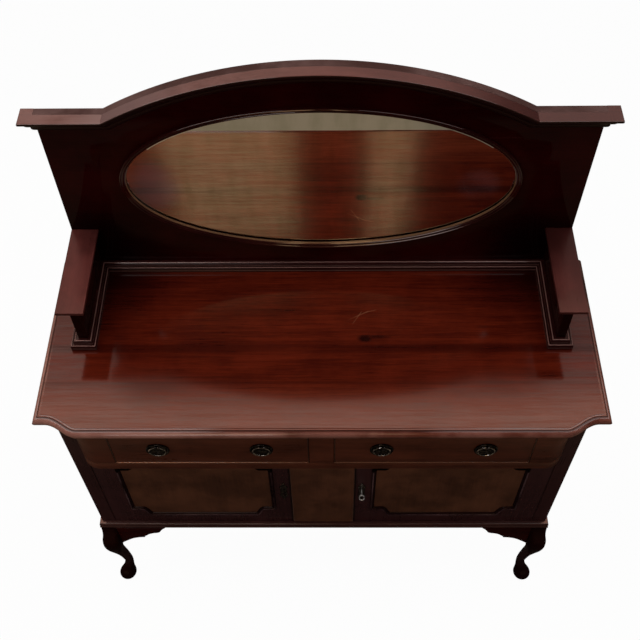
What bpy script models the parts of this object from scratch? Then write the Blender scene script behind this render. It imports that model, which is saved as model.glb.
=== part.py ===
"""Mahogany mirror-back sideboard: two drawers over two cupboards on a moulded base with cabriole legs,
and an arched back with an oval mirror and two arm shelves. Metres, +Z up, the front facing -Y."""

import math

import bmesh
import bpy
from mathutils import Matrix, Vector

# Overall sizes
TOP_WIDTH = 1.372
TOP_DEPTH = 0.5215
TOP_HEIGHT = 1.020
FIT = 0.0003                    # clearance between pieces that touch
CUT_OVERRUN = 0.002             # how far a cutter runs past a face

# Top board
TOP_THICKNESS = 0.024
TOP_EDGE_INSET = 0.018
CORNER_SETBACK_DEPTH = 0.0365
CORNER_STRAIGHT_WIDTH = 0.026
OGEE_LENGTH = 0.085
OGEE_STEPS = 8
TOP_EDGE_SHARES = ((1.0, 0.0), (0.97, 0.07), (0.50, 0.12), (0.20, 0.25), (0.03, 0.45),
                   (0.0, 0.62), (0.08, 0.85), (0.17, 1.0))

# Carcase
DOOR_SETBACK_DEPTH = 0.0565     # door plane behind the front edge of the top
TOP_OVERHANG_WIDTH = 0.043      # top past the carcase at each end
CARCASE_BACK_INSET = 0.010
SIDE_THICKNESS = 0.018
STILE_WIDTH = 0.039
STILE_DEPTH = 0.028
BACK_PANEL_THICKNESS = 0.008
FLOOR_THICKNESS = 0.018
PARTITION_THICKNESS = 0.018
DUST_BOARD_THICKNESS = 0.012
CENTRE_BLOCK_WIDTH = 0.171
CENTRE_BLOCK_PROJECTION = 0.004
CENTRE_BLOCK_DEPTH = 0.028
CENTRE_BLOCK_EDGE_RADIUS = 0.002

# Heights of the front, from the top down
TOP_RAIL_HEIGHT = 0.018
DRAWER_OPENING_HEIGHT = 0.144
FRIEZE_RAIL_HEIGHT = 0.032
CUPBOARD_HEIGHT = 0.408
BASE_HEIGHT = 0.026

# Frieze
FRIEZE_PROJECTION = 0.036
FRIEZE_RAIL_DEPTH = 0.076
FRIEZE_END_WIDTH = 0.0865
FRIEZE_END_DEPTH = 0.050
FRIEZE_ROUND_LENGTH = 0.044     # length of the rounded end along the front
FRIEZE_ROUND_STEPS = 6
CENTRE_STILE_WIDTH = 0.060
CENTRE_STILE_DEPTH = 0.030
DRAWER_GUIDE_THICKNESS = 0.018

# Drawers
DRAWER_GAP = 0.001
DRAWER_FRONT_THICKNESS = 0.019
DRAWER_BEAD_WIDTH = 0.003
DRAWER_BEAD_PROJECTION = 0.0012
DRAWER_BACK_CLEARANCE = 0.044   # behind a shut drawer
DRAWER_SIDE_THICKNESS = 0.010
DRAWER_SIDE_HEIGHT = 0.118
DRAWER_BOTTOM_THICKNESS = 0.006
DRAWER_BOTTOM_INSET = 0.008
DRAWER_GROOVE_DEPTH = 0.005

# Ring pulls
PULL_INSET = 0.116              # pull's middle from the end of its drawer
PULL_RADIUS = 0.029
PULL_PROFILE_SHARES = ((1.0, 0.0), (1.0, 0.75), (0.95, 1.0), (0.88, 0.85), (0.84, 0.42), (0.46, 0.42),
                       (0.40, 0.70), (0.22, 0.95))
PULL_PLATE_HEIGHT = 0.0038
PULL_STEPS = 28
RING_RADIUS = 0.0205
RING_THICKNESS = 0.0020         # radius of the ring's round bar
RING_STEPS = 24
LUG_RADIUS = 0.0052
LUG_WIDTH = 0.0055
LUG_CLEARANCE = 0.0007
LUG_POST_SHARE = 0.8            # post's height against the lug's
LUG_STEPS = 16

# Doors
DOOR_GAP = 0.0012
DOOR_THICKNESS = 0.021
DOOR_OUTER_STILE_WIDTH = 0.0635
DOOR_INNER_STILE_WIDTH = 0.0485
DOOR_TOP_RAIL_HEIGHT = 0.0300
DOOR_BOTTOM_RAIL_HEIGHT = 0.0520
PANEL_THICKNESS = 0.010
PANEL_SHOULDER_LENGTH = 0.030
PANEL_OGEE_LENGTH = 0.022
PANEL_CORNER_HEIGHT = 0.038
PANEL_OGEE_STEPS = 5
PANEL_MOULD_WIDTH = 0.012
PANEL_MOULD_LAP_WIDTH = 0.004
PANEL_MOULD_HEIGHT = 0.0065
PANEL_MOULD_SHARES = ((0.0, 0.0), (0.0, 0.45), (0.12, 0.75), (0.30, 1.0), (0.48, 0.85), (0.60, 0.45),
                      (0.80, 0.55), (1.0, 0.25), (1.0, 0.0))
PIVOT_INSET = 0.012
PIVOT_DEPTH = 0.0048
PIVOT_RADIUS = 0.0025
PIVOT_LENGTH = 0.008
PIVOT_CLEARANCE = 0.0003
PIVOT_STEPS = 12

# Lock, key and escutcheons
KEYHOLE_INSET = 0.0193          # from the door's inner edge
KEYHOLE_HEIGHT_SHARE = 0.520    # up the door
ESCUTCHEON_HEIGHT = 0.100
ESCUTCHEON_WIDTH = 0.022
ESCUTCHEON_THICKNESS = 0.0018
ESCUTCHEON_OFFSET = 0.012       # how far the plate's middle lies below the keyhole
ESCUTCHEON_SHARES = ((0.0, 1.0), (0.30, 0.93), (0.22, 0.84), (0.62, 0.72), (1.0, 0.50), (0.80, 0.30),
                     (0.86, 0.12), (0.55, 0.0))
KEY_RADIUS = 0.0016
KEY_CLEARANCE = 0.0005
KEY_BOW_RADIUS = 0.0068
KEY_BOW_BAR_RADIUS = 0.0014
KEY_OUTER_LENGTH = 0.0190       # from the door's face to the bow
KEY_INNER_LENGTH = 0.0060
KEY_STEPS = 12
KEY_BOW_STEPS = 20
LOCK_BOLT_LENGTH = 0.026
LOCK_BOLT_HEIGHT = 0.018
LOCK_BOLT_THICKNESS = 0.005
LOCK_BOLT_DEPTH = 0.0085        # behind the door's face
LOCK_BOLT_TRAVEL = 0.006
LOCK_CLEARANCE = 0.0005

# Base moulding
BASE_FRONT_PROJECTION = 0.0135
BASE_SIDE_PROJECTION = 0.008
BASE_SHARES = ((0.0, 0.0), (0.62, 0.0), (0.86, 0.08), (0.92, 0.24), (0.80, 0.38), (0.84, 0.46), (1.0, 0.60),
               (1.0, 0.88), (0.85, 1.0), (0.0, 1.0))

# Legs
LEG_BLOCK_WIDTH = 0.044
LEG_KNEE_PROJECTION = 0.0205    # how far the knee stands forward of the block
LEG_SWAY_OFFSET = 0.0050        # how far it stands out past the block
LEG_KNEE_RADIUS = 0.0270
LEG_ANKLE_RADIUS = 0.0126
LEG_FOOT_RADIUS = 0.0262
LEG_RING_POINTS = 16
REAR_LEG_SIZE = 0.045
REAR_LEG_TOE_SIZE = 0.030
BRACKET_LENGTH = 0.143
EAR_LAP_LENGTH = 0.018          # how far the side ear runs into the leg
BRACKET_HEIGHT = 0.112
BRACKET_THICKNESS = 0.022
BRACKET_FACE_INSET = 0.001
BRACKET_SHARES = ((0.0, 1.0), (0.07, 0.91), (0.14, 0.83), (0.22, 0.74), (0.315, 0.67), (0.42, 0.63),
                  (0.517, 0.616), (0.53, 0.56), (0.587, 0.482), (0.635, 0.42), (0.692, 0.379), (0.75, 0.35),
                  (0.797, 0.339), (0.845, 0.31), (0.874, 0.268), (0.91, 0.17), (0.958, 0.08), (1.0, 0.027))

# Back board
BACK_BOARD_INSET = 0.016        # from the end of the carcase
BACK_BOARD_THICKNESS = 0.020
WING_HEIGHT = 0.534
CROWN_HEIGHT = 0.664
ARCH_RADIUS = 0.931
ARCH_STEPS = 36
CORNICE_PROJECTION = 0.030
CORNICE_HEIGHT = 0.041
CORNICE_SHARES = ((1.0, 0.0), (1.0, 0.14), (0.93, 0.20), (0.75, 0.235), (0.66, 0.42), (0.50, 0.62),
                  (0.30, 0.70), (0.30, 0.80), (0.20, 0.95), (0.13, 1.0))

# Mirror
MIRROR_HALF_WIDTH = 0.4745
MIRROR_HALF_HEIGHT = 0.235
MIRROR_CENTRE_HEIGHT = 0.318
MIRROR_FRAME_WIDTH = 0.016
MIRROR_FRAME_LAP_WIDTH = 0.0075 # how far the frame laps over the back board
MIRROR_FRAME_HEIGHT = 0.009
MIRROR_FRAME_SHARES = ((0.0, 0.0), (0.0, 0.55), (0.20, 1.0), (0.44, 0.70), (0.52, 0.55), (0.74, 0.72),
                       (1.0, 0.20), (1.0, 0.0))
MIRROR_STEPS = 56
GLASS_THICKNESS = 0.005
GLASS_BEVEL_WIDTH = 0.020
GLASS_BEVEL_DEPTH = 0.0010

# Arms
ARM_WIDTH = 0.068
ARM_LENGTH = 0.261              # from the back board's face to the front of the shelf
ARM_THICKNESS = 0.009
ARM_HEIGHT = 0.152
SUPPORT_THICKNESS = 0.024
SUPPORT_LENGTH = 0.245
SUPPORT_INSET = 0.027           # support's outer face from the edge of the back board
SUPPORT_HOLE_LENGTH = 0.130
SUPPORT_HOLE_HEIGHT = 0.050
SUPPORT_HOLE_STEPS = 10
STEP_DEPTH = 0.019
STEP_HEIGHT = 0.0265
STEP_SHARES = ((0.0, 0.0), (0.0, 0.58), (0.08, 0.63), (0.38, 0.645), (0.41, 0.76), (0.46, 0.92), (0.58, 1.0))

# Places worked out from the sizes
FRONT_Y = -TOP_DEPTH / 2
BACK_Y = TOP_DEPTH / 2
DOOR_Y = FRONT_Y + DOOR_SETBACK_DEPTH
FRIEZE_Y = DOOR_Y - FRIEZE_PROJECTION
CARCASE_BACK_Y = BACK_Y - CARCASE_BACK_INSET
INSIDE_BACK_Y = CARCASE_BACK_Y - BACK_PANEL_THICKNESS
HALF_CARCASE = TOP_WIDTH / 2 - TOP_OVERHANG_WIDTH
HALF_INSIDE = HALF_CARCASE - SIDE_THICKNESS
HALF_OPENING = HALF_CARCASE - STILE_WIDTH
UNDER_TOP = TOP_HEIGHT - TOP_THICKNESS
DRAWER_TOP = UNDER_TOP - TOP_RAIL_HEIGHT
RAIL_TOP = DRAWER_TOP - DRAWER_OPENING_HEIGHT
DUST_TOP = RAIL_TOP + DRAWER_GAP - FIT
FRIEZE_BOTTOM = RAIL_TOP - FRIEZE_RAIL_HEIGHT
BASE_TOP = FRIEZE_BOTTOM - CUPBOARD_HEIGHT
BASE_BOTTOM = BASE_TOP - BASE_HEIGHT
PANEL_FACE_Y = BACK_Y - BACK_BOARD_THICKNESS
HALF_BACK = HALF_CARCASE - BACK_BOARD_INSET
ARCH_CENTRE = TOP_HEIGHT + CROWN_HEIGHT - ARCH_RADIUS
SUPPORT_OUTER = HALF_BACK - SUPPORT_INSET
SUPPORT_INNER = SUPPORT_OUTER - SUPPORT_THICKNESS
HALF_CENTRE = CENTRE_BLOCK_WIDTH / 2

# Finishes: colour, roughness, metallic
POLISHED = ((0.115, 0.038, 0.022), 0.30, 0.0)
VENEER = ((0.130, 0.060, 0.025), 0.35, 0.0)
DARK_WOOD = ((0.055, 0.020, 0.014), 0.35, 0.0)
PINE = ((0.300, 0.190, 0.100), 0.65, 0.0)
BRONZE = ((0.090, 0.070, 0.050), 0.38, 1.0)
STEEL = ((0.700, 0.700, 0.690), 0.25, 1.0)
BRASS = ((0.550, 0.400, 0.180), 0.35, 1.0)
SILVERED = ((0.850, 0.860, 0.850), 0.03, 1.0)

SIDES = (("left", -1), ("right", 1))


def clear_scene():
    for leftover in list(bpy.data.objects):
        bpy.data.objects.remove(leftover, do_unlink=True)


def new_collection(name, hidden=False):
    made = bpy.data.collections.new(name)
    made.hide_render = hidden
    bpy.context.scene.collection.children.link(made)
    return made


clear_scene()
PARTS = new_collection("mirror_back_sideboard")
CUTTERS = new_collection("cutters", hidden=True)


def paint(target, finish):
    """Gives the object a Principled material of its own."""
    colour, roughness, metallic = finish
    made = bpy.data.materials.new(target.name + "_finish")
    made.use_nodes = True
    shader = made.node_tree.nodes["Principled BSDF"]
    shader.inputs["Base Color"].default_value = (*colour, 1)
    shader.inputs["Roughness"].default_value = roughness
    shader.inputs["Metallic"].default_value = metallic
    target.data.materials.append(made)


def add_object(name, mesh, finish, origin):
    """A part where it has a finish, and otherwise a cutter."""
    made = bpy.data.objects.new(name, mesh)
    made.location = origin
    if finish is None:
        CUTTERS.objects.link(made)
        made.hide_render = True
        made.display_type = "WIRE"
    else:
        PARTS.objects.link(made)
        paint(made, finish)
    return made


def add_body(name, body, finish, origin=(0, 0, 0), smooth=False):
    """Turns a bmesh in world places into an object whose origin is the given point."""
    bmesh.ops.recalc_face_normals(body, faces=body.faces)
    bmesh.ops.translate(body, vec=-Vector(origin), verts=body.verts)
    mesh = bpy.data.meshes.new(name)
    body.to_mesh(mesh)
    body.free()
    if smooth:
        mesh.shade_smooth()
        mesh.set_sharp_from_angle(angle=math.radians(35))
    return add_object(name, mesh, finish, origin)


def board(name, across, deep, high, finish, origin=None):
    """A squared board between two limits on each axis."""
    low = Vector((across[0], deep[0], high[0]))
    top = Vector((across[1], deep[1], high[1]))
    body = bmesh.new()
    bmesh.ops.create_cube(body, size=1)
    bmesh.ops.scale(body, vec=top - low, verts=body.verts)
    bmesh.ops.translate(body, vec=(low + top) / 2, verts=body.verts)
    return add_body(name, body, finish, (low + top) / 2 if origin is None else origin)


def mirrored(limits, side):
    """Limits across the right half, moved to the side asked for."""
    return tuple(sorted(side * value for value in limits))


def rod(name, start, end, radius, steps, finish, origin=None):
    """A round bar between two points."""
    start, end = Vector(start), Vector(end)
    body = bmesh.new()
    bmesh.ops.create_cone(body, cap_ends=True, segments=steps, radius1=radius, radius2=radius,
                          depth=(end - start).length)
    turn = (end - start).to_track_quat("Z", "Y").to_matrix().to_4x4()
    bmesh.ops.transform(body, matrix=Matrix.Translation((start + end) / 2) @ turn, verts=body.verts)
    return add_body(name, body, finish, (start + end) / 2 if origin is None else origin, smooth=True)


def loft(name, rings, finish, origin=(0, 0, 0), closed=False, smooth=False):
    """A skin over rings of as many points each, capped at both ends unless it closes on itself."""
    body = bmesh.new()
    rows = [[body.verts.new(point) for point in ring] for ring in rings]
    pairs = list(zip(rows, rows[1:]))
    if closed:
        pairs.append((rows[-1], rows[0]))
    for near, far in pairs:
        for i, corner in enumerate(near):
            j = (i + 1) % len(near)
            body.faces.new((corner, near[j], far[j], far[i]))
    if not closed:
        body.faces.new(rows[0])
        body.faces.new(rows[-1])
    return add_body(name, body, finish, origin, smooth)


def flat_plate(name, outlines, thickness, place, finish):
    """Outlines drawn in a plane and given a thickness; any outline inside the first is a hole."""
    drawn = bpy.data.curves.new(name, "CURVE")
    drawn.dimensions = "2D"
    drawn.fill_mode = "BOTH"
    drawn.extrude = thickness / 2
    for outline in outlines:
        spline = drawn.splines.new("POLY")
        spline.points.add(len(outline) - 1)
        for point, (x, y) in zip(spline.points, outline):
            point.co = (x, y, 0, 1)
        spline.use_cyclic_u = True
    guide = bpy.data.objects.new(name + "_outline", drawn)
    guide.matrix_world = place
    bpy.context.scene.collection.objects.link(guide)
    bpy.context.view_layer.update()
    mesh = bpy.data.meshes.new_from_object(guide.evaluated_get(bpy.context.evaluated_depsgraph_get()))
    mesh.name = name
    body = bmesh.new()
    body.from_mesh(mesh)
    bmesh.ops.remove_doubles(body, verts=body.verts, dist=FIT / 10)
    bmesh.ops.recalc_face_normals(body, faces=body.faces)
    body.to_mesh(mesh)
    body.free()
    bpy.data.objects.remove(guide, do_unlink=True)
    made = add_object(name, mesh, finish, (0, 0, 0))
    made.matrix_world = place
    return made


def upright(y):
    """Places a drawing in the X and Z directions at the given depth."""
    return Matrix.Translation((0, y, 0)) @ Matrix.Rotation(math.radians(90), 4, "X")


def sideways(x):
    """Places a drawing of Y across and Z up in the plane at the given x."""
    return Matrix.Translation((x, 0, 0)) @ Matrix(((0, 0, 1, 0), (1, 0, 0, 0), (0, 1, 0, 0), (0, 0, 0, 1)))


def level(z):
    return Matrix.Translation((0, 0, z))


def combine(target, other, operation):
    """Cuts the other object from the target, or joins it, and keeps the result live."""
    change = target.modifiers.new(other.name, "BOOLEAN")
    change.operation = operation
    change.object = other
    return target


def ease_edges(target, width, segments=1):
    edge = target.modifiers.new("eased_edges", "BEVEL")
    edge.width = width
    edge.segments = segments
    edge.limit_method = "ANGLE"
    return target


def s_curve(share):
    """Rises from 0 to 1 as a reversing curve that is level at both ends."""
    return (1 - math.cos(math.pi * share)) / 2


def offset_path(path, distance, closed=False):
    """Moves each side of a path to its left by the distance, and meets the sides in mitres."""
    made = []
    count = len(path)
    for i, point in enumerate(path):
        before = path[i - 1] if closed or i > 0 else None
        after = path[(i + 1) % count] if closed or i < count - 1 else None
        normals = []
        for a, b in ((before, point), (point, after)):
            if a is not None and b is not None:
                run = (Vector(b) - Vector(a)).normalized()
                normals.append(Vector((-run.y, run.x)))
        middle = sum(normals, Vector((0, 0))).normalized()
        reach = distance / middle.dot(normals[0])
        made.append(tuple(Vector(point) + middle * reach))
    return made


def ellipse(half_width, half_height, centre, steps):
    turns = [2 * math.pi * i / steps for i in range(steps)]
    return [(centre[0] + half_width * math.cos(t), centre[1] + half_height * math.sin(t)) for t in turns]


def build_top():
    """Board with a thumb-moulded edge on the front and the ends; the back edge is plain."""
    half = TOP_WIDTH / 2
    corner_y = FRONT_Y + CORNER_SETBACK_DEPTH
    start = half - CORNER_STRAIGHT_WIDTH
    right = [(half, BACK_Y), (half, corner_y)]
    for i in range(OGEE_STEPS + 1):
        share = i / OGEE_STEPS
        right.append((start - OGEE_LENGTH * share, corner_y - CORNER_SETBACK_DEPTH * s_curve(share)))
    path = right + [(-x, y) for x, y in reversed(right)]
    rings = []
    for inset, drop in TOP_EDGE_SHARES:
        moved = offset_path(path, -TOP_EDGE_INSET * inset)
        z = TOP_HEIGHT - TOP_THICKNESS * drop
        rings.append([(x, y, z) for x, y in moved])
    loft("top_board", rings, POLISHED)


def frieze_outline(inner, back_y):
    """Right half of the frieze in plan, from the inner end to the stile, with its rounded end."""
    outer = HALF_OPENING - FIT
    points = [(inner, back_y), (outer, back_y)]
    for i in range(FRIEZE_ROUND_STEPS + 1):
        turn = math.pi / 2 * i / FRIEZE_ROUND_STEPS
        points.append((outer - FRIEZE_ROUND_LENGTH * (1 - math.cos(turn)),
                       DOOR_Y - FRIEZE_PROJECTION * math.sin(turn)))
    return points


def build_frieze():
    """Two rails with rounded ends, with the end blocks and the centre stile between them."""
    back_y = FRIEZE_Y + FRIEZE_RAIL_DEPTH
    half = frieze_outline(0, back_y)[1:]
    outline = half + [(-x, y) for x, y in reversed(half)]
    top_middle = UNDER_TOP - FIT / 2 - TOP_RAIL_HEIGHT / 2
    flat_plate("frieze_top_rail", [outline], TOP_RAIL_HEIGHT - FIT, level(top_middle), POLISHED)
    low_middle = FRIEZE_BOTTOM + FRIEZE_RAIL_HEIGHT / 2
    rail = flat_plate("frieze_rail", [outline], FRIEZE_RAIL_HEIGHT, level(low_middle), POLISHED)
    for word, side in SIDES:
        x, y = pivot_place(side)
        socket = rod("pivot_socket_top_" + word, (x, y, FRIEZE_BOTTOM - CUT_OVERRUN),
                     (x, y, FRIEZE_BOTTOM + PIVOT_LENGTH), PIVOT_RADIUS + PIVOT_CLEARANCE, PIVOT_STEPS, None)
        combine(rail, socket, "DIFFERENCE")
    block_height = DRAWER_OPENING_HEIGHT - 2 * FIT
    middle = RAIL_TOP + DRAWER_OPENING_HEIGHT / 2
    inner = HALF_OPENING - FRIEZE_END_WIDTH
    for word, side in SIDES:
        plan = [(side * x, y) for x, y in frieze_outline(inner, FRIEZE_Y + FRIEZE_END_DEPTH)]
        plan.append((side * inner, FRIEZE_Y))
        flat_plate("frieze_end_" + word, [plan], block_height, level(middle), POLISHED)
    half_stile, half_guide = CENTRE_STILE_WIDTH / 2, DRAWER_GUIDE_THICKNESS / 2
    behind = FRIEZE_Y + CENTRE_STILE_DEPTH
    divider = board("drawer_divider", (-half_stile, half_stile), (FRIEZE_Y, behind),
                    (RAIL_TOP + FIT, DRAWER_TOP - FIT), POLISHED)
    guide = board("drawer_guide", (-half_guide, half_guide), (behind - CUT_OVERRUN, INSIDE_BACK_Y - FIT),
                  (DUST_TOP + FIT, DRAWER_TOP - FIT), None)
    combine(divider, guide, "UNION")


def build_carcase():
    behind_stile = DOOR_Y + STILE_DEPTH + FIT
    for word, side in SIDES:
        board("side_" + word, mirrored((HALF_INSIDE, HALF_CARCASE), side),
              (behind_stile, CARCASE_BACK_Y), (BASE_BOTTOM, UNDER_TOP - FIT), POLISHED)
        stile = board("corner_stile_" + word, mirrored((HALF_OPENING, HALF_CARCASE), side),
                      (DOOR_Y, DOOR_Y + STILE_DEPTH), (BASE_BOTTOM, UNDER_TOP - FIT), DARK_WOOD)
        ease_edges(stile, DOOR_GAP)
    within = HALF_INSIDE - FIT
    board("carcase_back", (-within, within), (INSIDE_BACK_Y, CARCASE_BACK_Y),
          (BASE_BOTTOM, UNDER_TOP - FIT), PINE)
    tongue = HALF_OPENING - FIT
    right = [(tongue, DOOR_Y), (tongue, behind_stile), (within, behind_stile), (within, INSIDE_BACK_Y - FIT)]
    plan = right + [(-x, y) for x, y in reversed(right)]
    rings = [[(x, y, z) for x, y in plan] for z in (BASE_TOP - FLOOR_THICKNESS, BASE_TOP)]
    floor = loft("cupboard_floor", rings, POLISHED)
    for word, side in SIDES:
        x, y = pivot_place(side)
        socket = rod("pivot_socket_low_" + word, (x, y, BASE_TOP - PIVOT_LENGTH),
                     (x, y, BASE_TOP + CUT_OVERRUN), PIVOT_RADIUS + PIVOT_CLEARANCE, PIVOT_STEPS, None)
        combine(floor, socket, "DIFFERENCE")
    board("dust_board", (-within, within), (FRIEZE_Y + FRIEZE_RAIL_DEPTH + FIT, INSIDE_BACK_Y - FIT),
          (DUST_TOP - DUST_BOARD_THICKNESS, DUST_TOP), PINE)
    block_back = DOOR_Y - CENTRE_BLOCK_PROJECTION + CENTRE_BLOCK_DEPTH
    block = board("centre_block", (-HALF_CENTRE, HALF_CENTRE),
                  (DOOR_Y - CENTRE_BLOCK_PROJECTION, block_back), (BASE_TOP + FIT, FRIEZE_BOTTOM - FIT), VENEER)
    ease_edges(block, CENTRE_BLOCK_EDGE_RADIUS)
    combine(block, bolt_pocket("centre_block_mortise", LOCK_BOLT_TRAVEL + LOCK_CLEARANCE, 0), "DIFFERENCE")
    front, back = block_back + FIT, INSIDE_BACK_Y - FIT
    behind_rail = FRIEZE_Y + FRIEZE_RAIL_DEPTH + FIT
    low, under_rail, high = BASE_TOP + FIT, FRIEZE_BOTTOM - FIT, DUST_TOP - DUST_BOARD_THICKNESS - FIT
    outline = [(front, low), (back, low), (back, high), (behind_rail, high), (behind_rail, under_rail),
               (front, under_rail)]
    flat_plate("cupboard_partition", [outline], PARTITION_THICKNESS, sideways(0), PINE)


def build_base_moulding():
    """Moulding planted round the front and both sides, mitred at the corners."""
    rings = []
    inner_x, inner_y = HALF_CARCASE + FIT, DOOR_Y - FIT
    for side, at_front in ((-1, False), (-1, True), (1, True), (1, False)):
        ring = []
        for out, drop in BASE_SHARES:
            y = inner_y - BASE_FRONT_PROJECTION * out if at_front else CARCASE_BACK_Y
            ring.append((side * (inner_x + BASE_SIDE_PROJECTION * out), y, BASE_TOP - BASE_HEIGHT * drop))
        rings.append(ring)
    loft("base_moulding", rings, DARK_WOOD)


# Down the leg: shares of its height, of the sway and of the forward set, half width, squareness
LEG_STATIONS = (
    (0.0, 0.0, 0.0, LEG_BLOCK_WIDTH / 2, 12.0),
    (0.06, 0.08, 0.28, LEG_BLOCK_WIDTH / 2, 7.0),
    (0.13, 0.38, 0.69, LEG_KNEE_RADIUS * 0.87, 4.0),
    (0.19, 0.84, 0.96, LEG_KNEE_RADIUS * 0.96, 3.4),
    (0.27, 1.0, 1.0, LEG_KNEE_RADIUS, 3.0),
    (0.36, 1.10, 0.90, LEG_KNEE_RADIUS * 0.87, 2.8),
    (0.46, 0.80, 0.71, LEG_KNEE_RADIUS * 0.66, 2.6),
    (0.57, -0.40, 0.45, LEG_ANKLE_RADIUS * 1.15, 2.5),
    (0.68, -1.36, 0.28, LEG_ANKLE_RADIUS * 1.03, 2.3),
    (0.78, -1.74, 0.22, LEG_ANKLE_RADIUS, 2.2),
    (0.86, -0.92, 0.59, LEG_FOOT_RADIUS * 0.64, 2.0),
    (0.905, -0.04, 0.84, LEG_FOOT_RADIUS * 0.84, 2.0),
    (0.935, 0.40, 0.96, LEG_FOOT_RADIUS * 0.98, 2.0),
    (0.96, 0.70, 0.98, LEG_FOOT_RADIUS, 2.0),
    (0.985, 0.78, 0.97, LEG_FOOT_RADIUS * 0.85, 2.0),
    (1.0, 0.80, 0.97, LEG_FOOT_RADIUS * 0.70, 2.0),
)


def build_legs():
    """Cabriole legs at the front, set on the diagonal, each with a side ear; plain square ones behind."""
    leg_top = BASE_BOTTOM - FIT
    block_x = HALF_CARCASE + BASE_SIDE_PROJECTION - LEG_BLOCK_WIDTH / 2
    block_y = DOOR_Y - BASE_FRONT_PROJECTION + LEG_BLOCK_WIDTH / 2
    for word, side in SIDES:
        rings = []
        for share, sway, ahead, half, squareness in LEG_STATIONS:
            centre_x = block_x + LEG_SWAY_OFFSET * sway
            centre_y = block_y - LEG_KNEE_PROJECTION * ahead
            ring = []
            for i in range(LEG_RING_POINTS):
                turn = 2 * math.pi * (i + 0.5) / LEG_RING_POINTS
                across, along = math.cos(turn), math.sin(turn)
                reach = half / (abs(across) ** squareness + abs(along) ** squareness) ** (1 / squareness)
                ring.append((side * (centre_x + reach * across), centre_y + reach * along,
                             leg_top * (1 - share)))
            rings.append(ring)
        leg = loft("front_leg_" + word, rings, DARK_WOOD, smooth=True)
        ear_start = block_y + LEG_BLOCK_WIDTH / 2 - EAR_LAP_LENGTH
        ear_drawing = [(ear_start, leg_top), (ear_start + BRACKET_LENGTH, leg_top)]
        for along, drop in reversed(BRACKET_SHARES):
            ear_drawing.append((ear_start + BRACKET_LENGTH * along, leg_top - BRACKET_HEIGHT * drop))
        ear_x = HALF_CARCASE + BASE_SIDE_PROJECTION - BRACKET_FACE_INSET - BRACKET_THICKNESS / 2
        ear = flat_plate("side_ear_" + word, [ear_drawing], BRACKET_THICKNESS, sideways(side * ear_x), None)
        combine(leg, ear, "UNION")
        start = block_x - LEG_BLOCK_WIDTH / 2 - FIT
        drawing = [(side * start, leg_top), (side * (start - BRACKET_LENGTH), leg_top)]
        for along, drop in reversed(BRACKET_SHARES):
            drawing.append((side * (start - BRACKET_LENGTH * along), leg_top - BRACKET_HEIGHT * drop))
        face_y = DOOR_Y - BASE_FRONT_PROJECTION + BRACKET_FACE_INSET
        flat_plate("front_bracket_" + word, [drawing], BRACKET_THICKNESS,
                   upright(face_y + BRACKET_THICKNESS / 2), DARK_WOOD)
        inner = HALF_CARCASE - REAR_LEG_SIZE
        toe = HALF_CARCASE - REAR_LEG_TOE_SIZE
        deep = (CARCASE_BACK_Y - REAR_LEG_SIZE, CARCASE_BACK_Y)
        toe_y = CARCASE_BACK_Y - REAR_LEG_TOE_SIZE
        rings = [[(side * inner, deep[0], leg_top), (side * HALF_CARCASE, deep[0], leg_top),
                  (side * HALF_CARCASE, deep[1], leg_top), (side * inner, deep[1], leg_top)],
                 [(side * toe, toe_y, 0), (side * HALF_CARCASE, toe_y, 0),
                  (side * HALF_CARCASE, deep[1], 0), (side * toe, deep[1], 0)]]
        loft("rear_leg_" + word, rings, DARK_WOOD)


def build_drawer(word, side):
    """Front with a bead round it, three-sided box, and a bottom held in grooves."""
    inner = CENTRE_STILE_WIDTH / 2 + DRAWER_GAP
    outer = HALF_OPENING - FRIEZE_END_WIDTH - DRAWER_GAP
    low, high = RAIL_TOP + DRAWER_GAP, DRAWER_TOP - DRAWER_GAP
    middle = side * (inner + outer) / 2
    origin = (middle, FRIEZE_Y, low)
    front_back = FRIEZE_Y + DRAWER_FRONT_THICKNESS
    front = board("drawer_front_" + word, mirrored((inner, outer), side), (FRIEZE_Y, front_back),
                  (low, high), POLISHED, origin)
    sunk = board("drawer_field_" + word,
                 mirrored((inner + DRAWER_BEAD_WIDTH, outer - DRAWER_BEAD_WIDTH), side),
                 (FRIEZE_Y - CUT_OVERRUN, FRIEZE_Y + DRAWER_BEAD_PROJECTION),
                 (low + DRAWER_BEAD_WIDTH, high - DRAWER_BEAD_WIDTH), None)
    combine(front, sunk, "DIFFERENCE")
    start, end = front_back + FIT, INSIDE_BACK_Y - DRAWER_BACK_CLEARANCE
    box_top = low + DRAWER_SIDE_HEIGHT
    box = board("drawer_box_" + word, mirrored((inner, outer), side), (start, end), (low, box_top), PINE,
                origin)
    hollow = board("drawer_hollow_" + word,
                   mirrored((inner + DRAWER_SIDE_THICKNESS, outer - DRAWER_SIDE_THICKNESS), side),
                   (start - CUT_OVERRUN, end - DRAWER_SIDE_THICKNESS),
                   (low - CUT_OVERRUN, box_top + CUT_OVERRUN), None)
    combine(box, hollow, "DIFFERENCE")
    in_groove = DRAWER_SIDE_THICKNESS - DRAWER_GROOVE_DEPTH
    bottom_low = low + DRAWER_BOTTOM_INSET
    bottom_top = bottom_low + DRAWER_BOTTOM_THICKNESS
    groove = board("drawer_groove_" + word, mirrored((inner + in_groove, outer - in_groove), side),
                   (start - CUT_OVERRUN, end - in_groove), (bottom_low, bottom_top), None)
    combine(box, groove, "DIFFERENCE")
    board("drawer_bottom_" + word, mirrored((inner + in_groove + FIT, outer - in_groove - FIT), side),
          (start, end - in_groove - FIT), (bottom_low + FIT, bottom_top - FIT), PINE, origin)
    centre_z = (low + high) / 2
    for place, shift in (("outer", side), ("inner", -side)):
        build_pull(word + "_" + place, middle + shift * ((outer - inner) / 2 - PULL_INSET), centre_z)


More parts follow.
